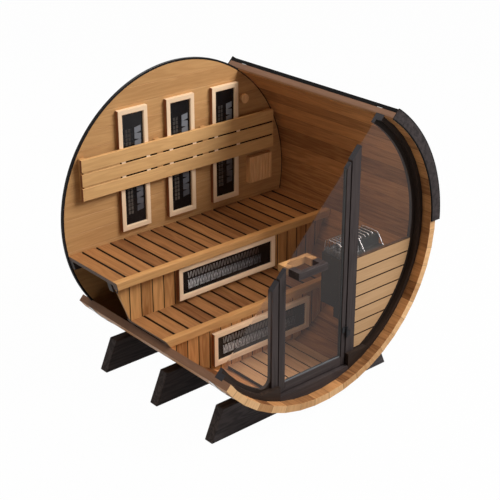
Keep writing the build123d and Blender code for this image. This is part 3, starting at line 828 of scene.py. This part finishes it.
@dataclass
class Shell:
    """The stave-built barrel with its steel hoops."""

    first_turn: float = -146.25
    hoop_steel: HardFinish = HardFinish("hoop steel", (0.62, 0.62, 0.61), (0.46, 0.46, 0.46), 0.30, 1.0)

    def finish(self) -> None:
        """Dresses the staves and hoops."""
        row = BoardRow(RowAxis.TURN, self.first_turn, STAVE_TURN, dark=0.03, fade=0.10)
        staves = TimberFinish("cedar staves", *CEDAR_SHELL, GrainRun.STAVE, row, spread=0.95, figure=0.2,
                              joint_strength=0.6, sawn=SAWN_FACE, end_grain=CEDAR_END)
        dress(staves.build(), "staves_even", "staves_odd")
        dress(self.hoop_steel.build(), "hoops")


@dataclass
class BackWall:
    """The round back wall of level boards, with its rim, backrest, air vent and lamp shade."""

    boards: int = 17
    groove: float = 0.0022
    face_points: int = 7
    # Radius past which the boards get painted shade where they meet the shell
    shaded_edge: float = 0.992
    rest_boards: int = 3
    rest_gap: float = 0.0125
    packer_play: float = 0.0001
    packer_set_back: float = 0.003
    frame_packers: tuple[float, ...] = (-0.515, -0.305, -0.105, 0.105, 0.305, 0.515)
    frame_packer_width: float = 0.032
    batten_packers: tuple[float, ...] = (-0.205, 0.205)
    batten_packer_width: float = 0.050
    end_packer: float = -0.695
    end_packer_width: float = 0.30
    # Middle, width and set-back of the black bars that stand in for the shadow in the backrest's gaps
    shade: float = 0.155
    gap_shadow_width: float = 1.39
    gap_shadow_set_back: float = 0.006
    edge: float = 0.003
    rim: HardFinish = HardFinish("rubber rim", (0.005, 0.005, 0.006), (0.009, 0.009, 0.010), 0.6, gloss=0.1)

    def board_rings(self) -> tuple[np.ndarray, np.ndarray, np.ndarray]:
        """Level boards cut to a disc: each section point at height z reaches out to the circle's chord there.

        Returns:
            Rings for tubes(), the grain's place at each point, and each point's board number.
        """
        pitch = (WALL_HIGH.z - WALL_LOW.z) / self.boards
        bevel = self.groove / pitch
        share = np.concatenate([[0.0], np.linspace(bevel, 1 - bevel, self.face_points - 2), [1.0]])
        back_off = np.where((share == 0) | (share == 1), self.groove, 0.0)
        start = WALL_LOW.z + pitch * np.arange(self.boards)
        height = start[:, None] + pitch * np.concatenate([share, share[::-1]])
        depth = np.concatenate([WALL_LOW.y + back_off, WALL_HIGH.y - back_off[::-1]])
        chord = np.sqrt(np.maximum(WALL_RADIUS ** 2 - (height - AXIS_HEIGHT) ** 2, SAME_POINT))
        side = np.array([-1.0, 1.0])[None, :, None]
        x = side * chord[:, None, :]
        rings = np.stack(np.broadcast_arrays(x, depth[None, None, :], height[:, None, :]), -1)
        number = np.broadcast_to(np.arange(self.boards)[:, None, None], x.shape)
        return rings, rings.reshape(-1, 3), number.astype(np.float32)

    def rest_pitch(self) -> float:
        """Spacing of the backrest's boards."""
        low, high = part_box("backrest_boards")
        return (high.z - low.z + self.rest_gap) / self.rest_boards

    def packers(self, width: float, *middles: float, set_back: float | None = None) -> np.ndarray:
        """Blocks between the backrest's boards, as upright bars at each given place in each gap.

        Args:
            width: Width of a block.
            *middles: Places along the boards.
            set_back: How far a block's front lies behind the boards' fronts, if not as far as a packer's.

        Returns:
            Rings for tubes().
        """
        low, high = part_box("backrest_boards")
        front = low.y + (self.packer_set_back if set_back is None else set_back)
        bottom = low.z + self.rest_pitch() * np.arange(1, self.rest_boards) - self.rest_gap
        x, z = (grid.ravel() for grid in np.meshgrid(middles, bottom))
        foot = np.stack([x, np.full(len(x), (front + high.y) / 2), z + self.packer_play], -1)
        head = foot + [0.0, 0.0, self.rest_gap - 2 * self.packer_play]
        return bars(foot, head, np.array([width, 0, 0]), np.array([0, high.y - front, 0]))

    def build(self) -> None:
        """Makes the boards and dresses what hangs on them."""
        rings, grain, number = self.board_rings()
        # Painted shade on the boards' edge where they meet the shell
        cedar = TimberFinish("cedar wall boards", *CEDAR_WALL, GrainRun.OWN, spread=0.22, figure=0.22,
                             rim=(self.shaded_edge, SHADOW))
        make_piece("back_wall_boards", tubes(rings), cedar.build(),
                   stands_for=("back_wall",), grain=grain, board=number)
        dress(self.rim.build(), "back_wall_rim")
        self.build_backrest()
        knob = TimberFinish("cedar fittings", *CEDAR_END, GrainRun.ALONG_Z)
        dress(knob.build(), "vent_knob", "lamp_shade")
        ease(self.edge, "backrest_battens", "vent_knob")

    def build_backrest(self) -> None:
        """Dresses the backrest, and makes the packers and the black bars that stand in for the shadow in its
        gaps.
        """
        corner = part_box("backrest_boards")[0]
        row = BoardRow(RowAxis.Z, corner.z - self.rest_gap / 2, self.rest_pitch())
        # The boards' left end gets painted shade through the flank colour
        rest = TimberFinish("cedar backrest", *CEDAR_REST, GrainRun.ALONG_X, row, spread=0.2,
                            joint_strength=0.0, flank=(0, corner.x, PAINTED_FLANK_SHADE))
        dress(rest.build(), "backrest_boards")
        cedar = TimberFinish("cedar uprights", *CEDAR_WALL, GrainRun.ALONG_Z).build()
        dress(cedar, "backrest_battens")
        brown = np.concatenate([self.packers(self.batten_packer_width, *self.batten_packers),
                                self.packers(self.end_packer_width, self.end_packer)])
        make_piece("batten_packers", tubes(brown), cedar)
        # Black bars set back in the gaps paint the shadow there
        dark = self.packers(self.gap_shadow_width, self.shade, set_back=self.gap_shadow_set_back)
        shade = HardFinish("painted gap shadow", SHADOW, SHADOW, 0.8, gloss=0.0)
        make_piece("gap_shadow_bars", tubes(dark), shade.build())
        pale = self.packers(self.frame_packer_width, *self.frame_packers)
        frame_wood = TimberFinish("pale packers", *FRAME_WOOD, GrainRun.ALONG_Z)
        make_piece("frame_packers", tubes(pale), frame_wood.build())


@dataclass
class Benches:
    """Two tiers of slatted benches with solid nosings and boarded skirts."""

    slat_pitch: float = 0.117
    slat_gap: float = 0.013
    skirt_pitch: float = 0.095
    skirt_start: float = -1.0285
    joint_margin: float = 0.0008
    dark_end: float = 0.9955

    def finish(self) -> None:
        """Dresses each tier."""
        # The seams get painted shade over the sides of each gap and a strip beside it
        skirt_row = BoardRow(RowAxis.X, self.skirt_start, self.skirt_pitch, dark=0.0025, fade=0.003)
        skirt = TimberFinish("cedar skirt boards", *CEDAR_SKIRT, GrainRun.ALONG_Z, skirt_row, spread=0.6)
        dress(skirt.build(), "upper_bench_skirt", "lower_bench_skirt")
        nosing = TimberFinish("cedar nosing", *CEDAR_TRIM, GrainRun.ALONG_X, rim=(self.dark_end, SAWN_END))
        dress(nosing.build(), "upper_bench_nosing", "lower_bench_nosing")
        # The dark stain colour on the bearers paints the shade under the benches
        bearer = TimberFinish("shaded bearers", *STAINED, GrainRun.ALONG_X)
        dress(bearer.build(), "upper_bench_bearers", "lower_bench_bearers")
        for node in ("upper_bench_slats", "lower_bench_slats"):
            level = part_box(node)[1].z - AXIS_HEIGHT
            start = -math.sqrt(SHELL_INNER ** 2 - level ** 2) - self.slat_gap / 2
            # The dark band, wider than half the gap, paints shade over the slats' sides and the edges of
            # their tops
            row = BoardRow(RowAxis.X, start, self.slat_pitch, self.slat_gap / 2 + self.joint_margin)
            slats = TimberFinish(f"cedar {node}", *CEDAR_BENCH, GrainRun.ALONG_Y, row, spread=0.75,
                                 rim=(self.dark_end, SAWN_END))
            dress(slats.build(), node)


class Stance(Enum):
    """How a heater's long side hangs, and which of its four frame members is then the left one, whose outer
    side gets painted shade.
    """

    LEVEL = 3
    UPRIGHT = 0


@dataclass(frozen=True)
class ElementRow:
    """A row of strips on a heater panel: their finish, spacing and width, where they start and end across it,
    how far every second one leans, and the bare lengths at both ends of the row."""

    label: str
    spacing: float
    breadth: float
    foot: float
    head: float
    slant: float
    bare_start: float
    bare_end: float


WALL_HEATERS = 3
SKIRT_ROWS = (
    ElementRow("bright", 0.0125, 0.0042, -0.057, 0.010, 0.003, 0.055, 0.094),
    ElementRow("bright", 0.0250, 0.0040, -0.055, 0.008, 0.020, 0.061, 0.094),
    ElementRow("brown", 0.0145, 0.0048, 0.024, 0.068, 0.006, 0.055, 0.115),
)
WALL_ROWS = (
    ElementRow("grey", 0.0480, 0.0430, -0.070, -0.016, 0.010, 0.110, 0.085),
    *(ElementRow("dim", 0.0300, 0.0240, side, side + 0.018, 0.0, 0.087, 0.110) for side in (0.018, 0.042)),
)


class HeaterFinishes:
    """The finishes that all heaters share."""

    def __init__(self) -> None:
        """Makes each finish once."""
        # The outer side of each frame's left member gets painted shade through the flank colour
        self.wood = TimberFinish("pale heater frames", *FRAME_WOOD, GrainRun.OWN, spread=0.2, figure=0.15,
                                 flank=(1, 0.0, PAINTED_FLANK_SHADE)).build()
        self.panel = HardFinish("heater glass", (0.004, 0.004, 0.005), (0.007, 0.007, 0.008), 0.2,
                                gloss=0.3).build()
        tones = {
            "bright": ((0.78, 0.80, 0.83), (0.07, 0.07, 0.08)),
            "brown": ((0.40, 0.37, 0.35), (0.07, 0.042, 0.030)),
            "grey": ((0.07, 0.07, 0.08), (0.17, 0.18, 0.20)),
            "dim": ((0.085, 0.072, 0.062), (0.04, 0.036, 0.033)),
        }
        self.elements = {label: HardFinish(f"{label} elements", *pair, 0.35, by_share=True).build()
                         for label, pair in tones.items()}


@dataclass
class HeaterSet:
    """Radiant heaters of one node: mitred pale frames, and rows of element strips on the dark panel."""

    name: str
    frame_node: str
    panel_node: str
    stance: Stance
    count: int
    width: float
    rows: tuple[ElementRow, ...]
    member: float = 0.036
    element_rise: float = 0.0165
    strip: float = 0.0012
    fade_power: float = 0.7
    # Grain offset that keeps the other members clear of the painted flank shade
    off_flank: float = 0.01
    centres: np.ndarray = field(init=False)
    length: float = field(init=False)
    depth: float = field(init=False)

    def __post_init__(self) -> None:
        """Takes the heaters' places from the frame."""
        low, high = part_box(self.frame_node)
        self.length = high.x - low.x if self.stance is Stance.LEVEL else high.z - low.z
        self.depth = high.y - low.y
        reach = (high.x - low.x - self.width) / 2 if self.stance is Stance.UPRIGHT else 0.0
        x = (low.x + high.x) / 2 + np.linspace(-reach, reach, self.count)
        self.centres = np.stack(np.broadcast_arrays(x, high.y, (low.z + high.z) / 2), -1)

    def set_out(self, local: np.ndarray) -> np.ndarray:
        """Places points given along, across and out of a heater on each heater of the set.

        Args:
            local: Points, with the three values last.

        Returns:
            The points of every heater, with the heaters first.
        """
        axes = np.array([[1, 0, 0], [0, 0, 1], [0, -1, 0]], float)
        if self.stance is Stance.UPRIGHT:
            axes = np.array([[0, 0, 1], [-1, 0, 0], [0, -1, 0]], float)
        turned = local @ axes
        return turned[None] + self.centres.reshape((self.count,) + (1,) * (local.ndim - 1) + (3,))

    def frame_rings(self) -> tuple[np.ndarray, np.ndarray, np.ndarray]:
        """Four mitred members: a bevelled section whose ends slide in by as much as each point lies inwards.

        Returns:
            Rings for tubes(), the grain's place at each point, and each point's board number.
        """
        inset_shares = np.array([0.0, 0.0, 0.04, 0.86, 1.0, 1.0])
        rise_shares = np.array([0.0, 0.95, 1.0, 1.0, 0.85, 0.0])
        inset, rise = inset_shares * self.member, rise_shares * self.depth
        long, wide = self.length / 2, self.width / 2
        ends = np.array([-1.0, 1.0])[:, None]
        members = []
        sides = ((long, wide, False), (long, -wide, False), (wide, long, True), (wide, -long, True))
        for half, off, flip in sides:
            run = ends * (half - inset)
            aside = np.broadcast_to(math.copysign(1.0, off) * (abs(off) - inset), run.shape)
            pair = (aside, run) if flip else (run, aside)
            members.append(np.stack(np.broadcast_arrays(*pair, rise), -1))
        local = np.stack(members)
        along = np.stack([local[0, ..., 0], local[1, ..., 0], local[2, ..., 1], local[3, ..., 1]])
        # Only the left member keeps its outer side at the limit where the painted flank shade goes
        moved = np.where(np.arange(len(sides)) == self.stance.value, 0.0, self.off_flank)
        grain = np.stack(np.broadcast_arrays(along, inset + moved[:, None, None], rise), -1)
        rings = self.set_out(local)
        number = np.arange(self.count * len(sides)).reshape(self.count, len(sides), 1, 1)
        number = np.broadcast_to(number, rings.shape[:-1])
        grain = np.broadcast_to(grain, rings.shape)
        flat = rings.reshape(-1, *rings.shape[2:])
        return flat, np.ascontiguousarray(grain, np.float32), number.astype(np.float32)

    def strokes(self, row: ElementRow) -> tuple[np.ndarray, np.ndarray]:
        """A row of strips across the heater whose slant changes sides from one to the next.

        Args:
            row: The row's sizes.

        Returns:
            Rings for tubes(), and each point's share of the way along the row.
        """
        reach = self.length / 2 - self.member
        place = np.arange(row.bare_start - reach, reach - row.bare_end, row.spacing)
        lean = np.where(np.arange(len(place)) % 2, row.slant, -row.slant) / 2
        rise = np.full(len(place), self.element_rise)
        start = np.stack([place - lean, np.full(len(place), row.foot), rise], -1)
        end = np.stack([place + lean, np.full(len(place), row.head), rise], -1)
        local = bars(start, end, np.array([row.breadth, 0, 0]), np.array([0, 0, self.strip]))
        rings = self.set_out(local).reshape(-1, *local.shape[1:])
        share = (np.linspace(0, 1, len(place)) ** self.fade_power)[None, :, None, None]
        share = np.broadcast_to(share, (self.count, *local.shape[:-1]))
        return rings, np.ascontiguousarray(share, np.float32)

    def build(self, finishes: HeaterFinishes) -> None:
        """Makes the pieces of the set.

        Args:
            finishes: The finishes that all heaters share.
        """
        rings, grain, number = self.frame_rings()
        make_piece(f"{self.name}_frames", tubes(rings), finishes.wood,
                   stands_for=(self.frame_node,), grain=grain, board=number)
        for index, row in enumerate(self.rows):
            strips, share = self.strokes(row)
            make_piece(f"{self.name}_elements_{index}", tubes(strips), finishes.elements[row.label],
                       board=share)
        dress(finishes.panel, self.panel_node)


@dataclass
class FrontWall:
    """The front wall: dark rings, posts and sill, pale boards beside the door and fixed side panes."""

    board_pitch: float = 0.0986
    board_groove: float = 0.008
    boards_below: int = 12
    joint_margin: float = 0.0003

    def finish(self) -> None:
        """Dresses the wall."""
        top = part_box("front_boards")[1].z
        row = BoardRow(RowAxis.Z, top - self.board_pitch * self.boards_below + self.board_groove / 2,
                       self.board_pitch, self.board_groove / 2 + self.joint_margin)
        boards = TimberFinish("pale front boards", *PALE_BOARD, GrainRun.ALONG_X, row, spread=0.2, figure=0.2,
                              joint_and_shade_colour=JOINT_BROWN)
        dress(boards.build(), "front_boards")
        ring = TimberFinish("stained ring", *STAINED, GrainRun.RIM, sawn=SAWN_STAIN, roughness=0.5,
                            gloss=0.12)
        dress(ring.build(), "front_ring_left", "front_ring_right")
        dress(stained("stained posts", GrainRun.ALONG_Z, SAWN_STAIN).build(), "left_post", "right_post")
        dress(stained("stained sill", GrainRun.ALONG_X).build(), "door_sill")
        low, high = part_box("side_panes")
        glass = GlassFinish("pale smoky glass", PALE_SMOKE, GLASS_SHEEN_GLOW, low.y, high.y)
        dress(glass.build(), "side_panes")


@dataclass
class Door:
    """The glazed door leaf with its seal, hinge and handles."""

    bead: float = 0.006
    bead_points: int = 4
    bead_soft: float = 50.0
    cut_gap: float = 0.002
    edge: float = 0.003
    seal: HardFinish = HardFinish("grey seal", (0.115, 0.125, 0.132), (0.085, 0.092, 0.098), 0.45)
    metal: HardFinish = HardFinish("black hinge metal", (0.020, 0.020, 0.022), (0.035, 0.035, 0.038), 0.42,
                                   0.7)

    def seal_rings(self, face: float, way: float) -> np.ndarray:
        """A rounded bead down one stile, along the rail and up the other, ending at the slanted cut.

        Args:
            face: Depth of the glass face that it lies on.
            way: Which way it stands off the face, -1 to the front and 1 to the inside.

        Returns:
            Rings for tubes().
        """
        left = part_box("door_left_stile")[1].x
        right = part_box("door_right_stile")[0].x
        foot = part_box("door_bottom_rail")[1].z
        turn = np.linspace(math.pi / 2, 0, self.bead_points)
        inset = np.concatenate([[0.0], self.bead * np.sin(turn)])
        rise = np.concatenate([[0.0], self.bead * np.cos(turn)])
        corners = (
            (left + inset, cut_height(left + inset) - self.cut_gap),
            (left + inset, foot + inset),
            (right - inset, foot + inset),
            (right - inset, cut_height(right - inset) - self.cut_gap),
        )
        depth = face + way * rise
        return np.stack([np.stack([x, depth, z], -1) for x, z in corners])[None]

    def build(self) -> None:
        """Makes the seal and dresses the leaf."""
        stiles = ("door_left_stile", "door_right_stile")
        rails = ("door_bottom_rail", "handle_outside")
        dress(stained("stained stiles", GrainRun.ALONG_Z, SAWN_STAIN).build(), *stiles)
        dress(stained("stained rail", GrainRun.ALONG_X).build(), *rails)
        grip = TimberFinish("pale handle", *CEDAR_GRIP, GrainRun.ALONG_X)
        dress(grip.build(), "handle_inside")
        low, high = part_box("door_glass")
        glass = GlassFinish("smoky glass", SMOKE, GLASS_SHEEN_GLOW, low.y, high.y)
        dress(glass.build(), "door_glass")
        dress(self.metal.build(), "hinge_plate", "hinge_bracket")
        beads = np.concatenate([self.seal_rings(low.y, -1.0), self.seal_rings(high.y, 1.0)])
        make_piece("door_seal", tubes(beads), self.seal.build(), body=LEAF,
                   smooth_below=self.bead_soft)
        ease(self.edge, *stiles, *rails, "handle_inside")


@dataclass
class Floor:
    """The slatted floor on its joists."""

    pitch: float = 0.105
    gap: float = 0.008
    joint_margin: float = 0.0005

    def finish(self) -> None:
        """Dresses the boards and joists."""
        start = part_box("floor_boards")[0].x - self.gap / 2
        # The dark band paints shade over the boards' sides in each gap and a strip beside it
        row = BoardRow(RowAxis.X, start, self.pitch, self.gap / 2 + self.joint_margin)
        boards = TimberFinish("floor boards", *CEDAR_FLOOR, GrainRun.ALONG_Y, row, spread=0.4)
        dress(boards.build(), "floor_boards")
        joists = TimberFinish("floor joists", *CEDAR_BENCH, GrainRun.ALONG_X)
        dress(joists.build(), "floor_joists")


@dataclass
class Stove:
    """The wall-hung electric stove with its stones and wire guard."""

    seed: int = 11
    across: int = 6
    deep: int = 4
    layers: int = 2
    rings: int = 9
    ring_points: int = 14
    scatter_share: float = 0.10
    size_shares: tuple[float, float] = (0.50, 0.60)
    wave_count: int = 3
    wave_spread: float = 2.4
    wave_share: float = 0.07
    soft: float = 35.0
    edge: float = 0.002
    steel: HardFinish = HardFinish("stove steel", (0.018, 0.020, 0.021), (0.030, 0.033, 0.034), 0.5,
                                   relief=0.0)
    chrome: HardFinish = HardFinish("bright wire", (0.72, 0.73, 0.75), (0.55, 0.56, 0.58), 0.16, 1.0)
    stone: HardFinish = HardFinish("stove stone", (0.040, 0.042, 0.046), (0.150, 0.155, 0.165), 0.72, 0.0,
                                   coarse=38.0, fine=420.0, relief=0.35)

    def stone_points(self) -> tuple[np.ndarray, Faces]:
        """Split stones: spheres whose radius rises and falls with a few sine waves of their own direction.

        Returns:
            Points and faces of all stones.
        """
        low, high = (np.array(corner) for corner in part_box("stove_stones"))
        draw = np.random.default_rng(self.seed)
        counts = (self.across, self.deep, self.layers)
        cell = (high - low) / counts
        middles = (np.arange(count) + 0.5 for count in counts)
        spots = np.stack(np.meshgrid(*middles, indexing="ij"), -1).reshape(-1, 3)
        scatter = draw.uniform(-self.scatter_share, self.scatter_share, spots.shape)
        centre = low + spots * cell + scatter * cell
        half = cell * draw.uniform(*self.size_shares, spots.shape)
        lift = np.linspace(-math.pi / 2, math.pi / 2, self.rings)[:, None]
        turn = np.linspace(0, 2 * math.pi, self.ring_points, endpoint=False)[None]
        ball = np.stack(np.broadcast_arrays(np.cos(lift) * np.cos(turn), np.cos(lift) * np.sin(turn),
                                            np.sin(lift)), -1)
        waves = draw.normal(0, self.wave_spread, (len(spots), 3, self.wave_count))
        phase = draw.uniform(0, 2 * math.pi, (len(spots), 1, 1, self.wave_count))
        ripple = np.sin(np.einsum("rck,nkw->nrcw", ball, waves) + phase).sum(-1)
        swell = 1 + self.wave_share * ripple[..., None]
        points = np.clip(ball[None] * swell * half[:, None, None] + centre[:, None, None], low, high)
        first = np.arange(len(spots))[:, None, None] * self.rings * self.ring_points
        faces = ring_faces(self.rings, self.ring_points)[None] + first
        return points.reshape(-1, 3), faces.reshape(-1, 4).tolist()

    def build(self) -> None:
        """Makes the stones and dresses the stove."""
        dress(self.steel.build(), "stove_cabinet")
        dress(self.chrome.build(), "stove_guard")
        make_piece("stones", self.stone_points(), self.stone.build(),
                   stands_for=("stove_stones",), smooth_below=self.soft)
        ease(self.edge, "stove_cabinet")


@dataclass
class Roof:
    """The weather cover on the right of the barrel: courses of tabs between two dark fascias."""

    course: float = 0.125
    lap: float = 0.020
    tab: float = 0.2045
    slot: float = 0.004
    butt: float = 0.0044
    head: float = 0.0008
    stations: int = 5
    cut_margin: float = 0.004
    fascia_edges: tuple[float, float] = (1.008, 1.075)
    cover: HardFinish = HardFinish("roofing felt", (0.006, 0.006, 0.007), (0.012, 0.012, 0.013), 0.85,
                                   fine=900.0, relief=0.3, gloss=0.08)
    tabs: HardFinish = HardFinish("roof tabs", (0.020, 0.020, 0.021), (0.062, 0.060, 0.060), 0.88,
                                  coarse=22.0, fine=1100.0, relief=0.5, gloss=0.1, by_board=0.45)

    def tab_rings(self) -> tuple[np.ndarray, np.ndarray]:
        """Curved tabs: each climbs the cover's arc from a raised butt to a head under the next course.

        Returns:
            Rings for tubes(), and each point's tab number.
        """
        low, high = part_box("roof_cover")
        radius = high.x
        top = math.radians(CUT_ANGLE) - math.acos(CUT_DISTANCE / radius) - self.cut_margin
        courses = int(top * radius / self.course)
        exposed = top / courses
        climb = np.linspace(0, 1, self.stations)
        rings = []
        for row in range(courses):
            end = min((row + 1) * exposed + self.lap / radius, top)
            angle = row * exposed + (end - row * exposed) * climb
            shift = self.tab / 2 if row % 2 else 0.0
            edges = np.arange(low.y - shift, high.y, self.tab)
            left = np.maximum(edges, low.y)
            right = np.minimum(edges + self.tab - self.slot, high.y)
            keep = right - left > self.slot
            left, right = left[keep], right[keep]
            outer = radius + self.butt + (self.head - self.butt) * climb
            reach = np.stack([outer, outer, np.full_like(outer, radius), np.full_like(outer, radius)], -1)
            y = np.stack([left, right, right, left], -1)[:, None, :]
            x = np.broadcast_to((reach * np.cos(angle)[:, None])[None], (len(left), self.stations, 4))
            z = np.broadcast_to((AXIS_HEIGHT + reach * np.sin(angle)[:, None])[None], x.shape)
            rings.append(np.stack(np.broadcast_arrays(x, y, z), -1))
        joined = np.concatenate(rings)
        number = np.broadcast_to(np.arange(len(joined))[:, None, None], joined.shape[:-1])
        return joined, number.astype(np.float32)

    def build(self) -> None:
        """Makes the tabs and dresses the cover and fascias."""
        rings, number = self.tab_rings()
        make_piece("roof_tabs", tubes(rings), self.tabs.build(), board=number)
        dress(self.cover.build(), "roof_cover")
        fascia = HardFinish("weathered fascia", (0.018, 0.015, 0.015), (0.066, 0.054, 0.054), 0.8,
                            coarse=30.0, fine=260.0, relief=0.4, gloss=0.1, outline=self.fascia_edges)
        dress(fascia.build(), "roof_fascia_front", "roof_fascia_back")


@dataclass
class Cradles:
    """The stained cradles that carry the barrel."""

    nodes: tuple[str, ...] = ("cradle_front", "cradle_middle", "cradle_back")
    edge: float = 0.004

    def finish(self) -> None:
        """Dresses the cradles."""
        timber = TimberFinish("stained cradles", *CRADLE_STAIN, GrainRun.ALONG_X, figure=0.5, roughness=0.6,
                              gloss=0.1, relief=0.3)
        dress(timber.build(), *self.nodes)
        ease(self.edge, *self.nodes)


WHITE = (1.0, 1.0, 1.0)
WARM = (1.0, 0.80, 0.60)


@dataclass(frozen=True)
class SoftLamp:
    """A round soft lamp that looks at the barrel's middle: its degrees right of the front and above level,
    the brightness that it gives to white paper facing it, and its colour."""

    name: str
    turn: float
    lift: float
    level: float
    colour: Colour = WHITE
    size: float = 5.0
    distance: float = 8.0

    def hang(self) -> None:
        """Puts the lamp into the scene."""
        data = bpy.data.lights.new(self.name, "AREA")
        data.color = self.colour
        data.shape, data.size = "DISK", self.size
        data.energy = self.level * math.pi ** 2 * self.distance ** 2
        turn, lift = math.radians(self.turn), math.radians(self.lift)
        toward = Vector((math.sin(turn) * math.cos(lift), -math.cos(turn) * math.cos(lift), math.sin(lift)))
        lamp = bpy.data.objects.new(self.name, data)
        lamp.location = Vector((0, 0, AXIS_HEIGHT)) + toward * self.distance
        lamp.rotation_euler = toward.to_track_quat("Z", "Y").to_euler()
        bpy.context.scene.collection.objects.link(lamp)


@dataclass
class Studio:
    """A plain white floor, soft light from the front right, and the camera."""

    camera_place: Colour = (-4.8437, -5.673, 4.3398)
    camera_turn: Colour = (65.383, 0.0, -40.861)
    lens: float = 85.16
    sensor: float = 36.0
    floor_half: float = 40.0
    floor_colour: Colour = (0.42, 0.42, 0.42)
    floor_glow: float = 0.985
    ambient: float = 0.045
    lamps: tuple[SoftLamp, ...] = (
        SoftLamp("key", 42.0, 44.0, 1.36),
        SoftLamp("top", -92.0, 65.0, 0.36, WARM),
        SoftLamp("back", 155.0, 32.0, 0.40),
    )

    def camera(self) -> None:
        """Sets up the camera."""
        data = bpy.data.cameras.new("camera")
        data.lens, data.sensor_width = self.lens, self.sensor
        camera = bpy.data.objects.new("camera", data)
        camera.location = self.camera_place
        camera.rotation_euler = Euler(tuple(map(math.radians, self.camera_turn)))
        bpy.context.scene.collection.objects.link(camera)
        bpy.context.scene.camera = camera

    def seen(self, graph: Graph) -> Socket:
        """A mask that is 1 where the camera sees a surface directly, in a mirror or through glass.

        Args:
            graph: The tree that it is added to.

        Returns:
            The mask.
        """
        path = graph.add("LightPath")
        mirrored = graph.math("MAXIMUM", path.outputs["Is Glossy Ray"], path.outputs["Is Transmission Ray"])
        return graph.math("MAXIMUM", path.outputs["Is Camera Ray"], mirrored)

    def floor(self) -> None:
        """Lays the floor: white to the eye, with a soft share of the real shadow."""
        half = self.floor_half
        mesh = bpy.data.meshes.new("studio_floor")
        corners = [(-half, -half, 0), (half, -half, 0), (half, half, 0), (-half, half, 0)]
        mesh.from_pydata(corners, [], [[0, 1, 2, 3]])
        material = bpy.data.materials.new("studio floor")
        material.use_nodes = True
        material.node_tree.nodes.clear()
        graph = Graph(material.node_tree)
        matt = graph.add("BsdfDiffuse")
        graph.feed(matt.inputs["Color"], self.floor_colour)
        glow = graph.add("Emission")
        blend = graph.add("MixShader")
        graph.feed(blend.inputs[0], graph.math("MULTIPLY", self.seen(graph), self.floor_glow))
        graph.feed(blend.inputs[1], matt.outputs[0])
        graph.feed(blend.inputs[2], glow.outputs[0])
        graph.feed(graph.add("OutputMaterial").inputs["Surface"], blend.outputs[0])
        mesh.materials.append(material)
        floor = bpy.data.objects.new("studio_floor", mesh)
        bpy.context.scene.collection.objects.link(floor)

    def light(self) -> None:
        """Lights the studio: faint warm surroundings that look white, and three large soft lamps."""
        world = bpy.data.worlds.new("studio")
        bpy.context.scene.world = world
        world.use_nodes = True
        world.node_tree.nodes.clear()
        graph = Graph(world.node_tree)
        even, white = graph.add("Background"), graph.add("Background")
        even.inputs["Strength"].default_value = self.ambient
        blend = graph.add("MixShader")
        graph.feed(blend.inputs[0], self.seen(graph))
        graph.feed(blend.inputs[1], even.outputs[0])
        graph.feed(blend.inputs[2], white.outputs[0])
        graph.feed(graph.add("OutputWorld").inputs["Surface"], blend.outputs[0])
        graph.feed(even.inputs["Color"], WARM)
        graph.feed(white.inputs["Color"], WHITE)
        for lamp in self.lamps:
            lamp.hang()

    def build(self) -> None:
        """Sets up the camera, floor and light."""
        self.camera()
        self.floor()
        self.light()
        bpy.context.scene.view_settings.view_transform = "Standard"


def build_heaters() -> None:
    """Builds the heaters on the back wall and in both skirts, all of one width."""
    finishes = HeaterFinishes()
    low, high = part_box("upper_skirt_heater_frame")
    width = high.z - low.z
    sets = [HeaterSet("wall_heaters", "wall_heater_frame", "wall_heater_panel", Stance.UPRIGHT, WALL_HEATERS,
                      width, WALL_ROWS)]
    sets += [HeaterSet(f"{tier}_skirt_heater_set", f"{tier}_skirt_heater_frame", f"{tier}_skirt_heater_panel",
                       Stance.LEVEL, 1, width, SKIRT_ROWS) for tier in ("upper", "lower")]
    for heaters in sets:
        heaters.build(finishes)


def main() -> None:
    """Builds and dresses the sauna."""
    logging.basicConfig(level=logging.INFO, format="%(name)s: %(message)s")
    Studio().build()
    Shell().finish()
    BackWall().build()
    Benches().finish()
    build_heaters()
    FrontWall().finish()
    Door().build()
    Floor().finish()
    Stove().build()
    Roof().build()
    Cradles().finish()
    bpy.context.view_layer.update()


if __name__ == "__main__":
    main()
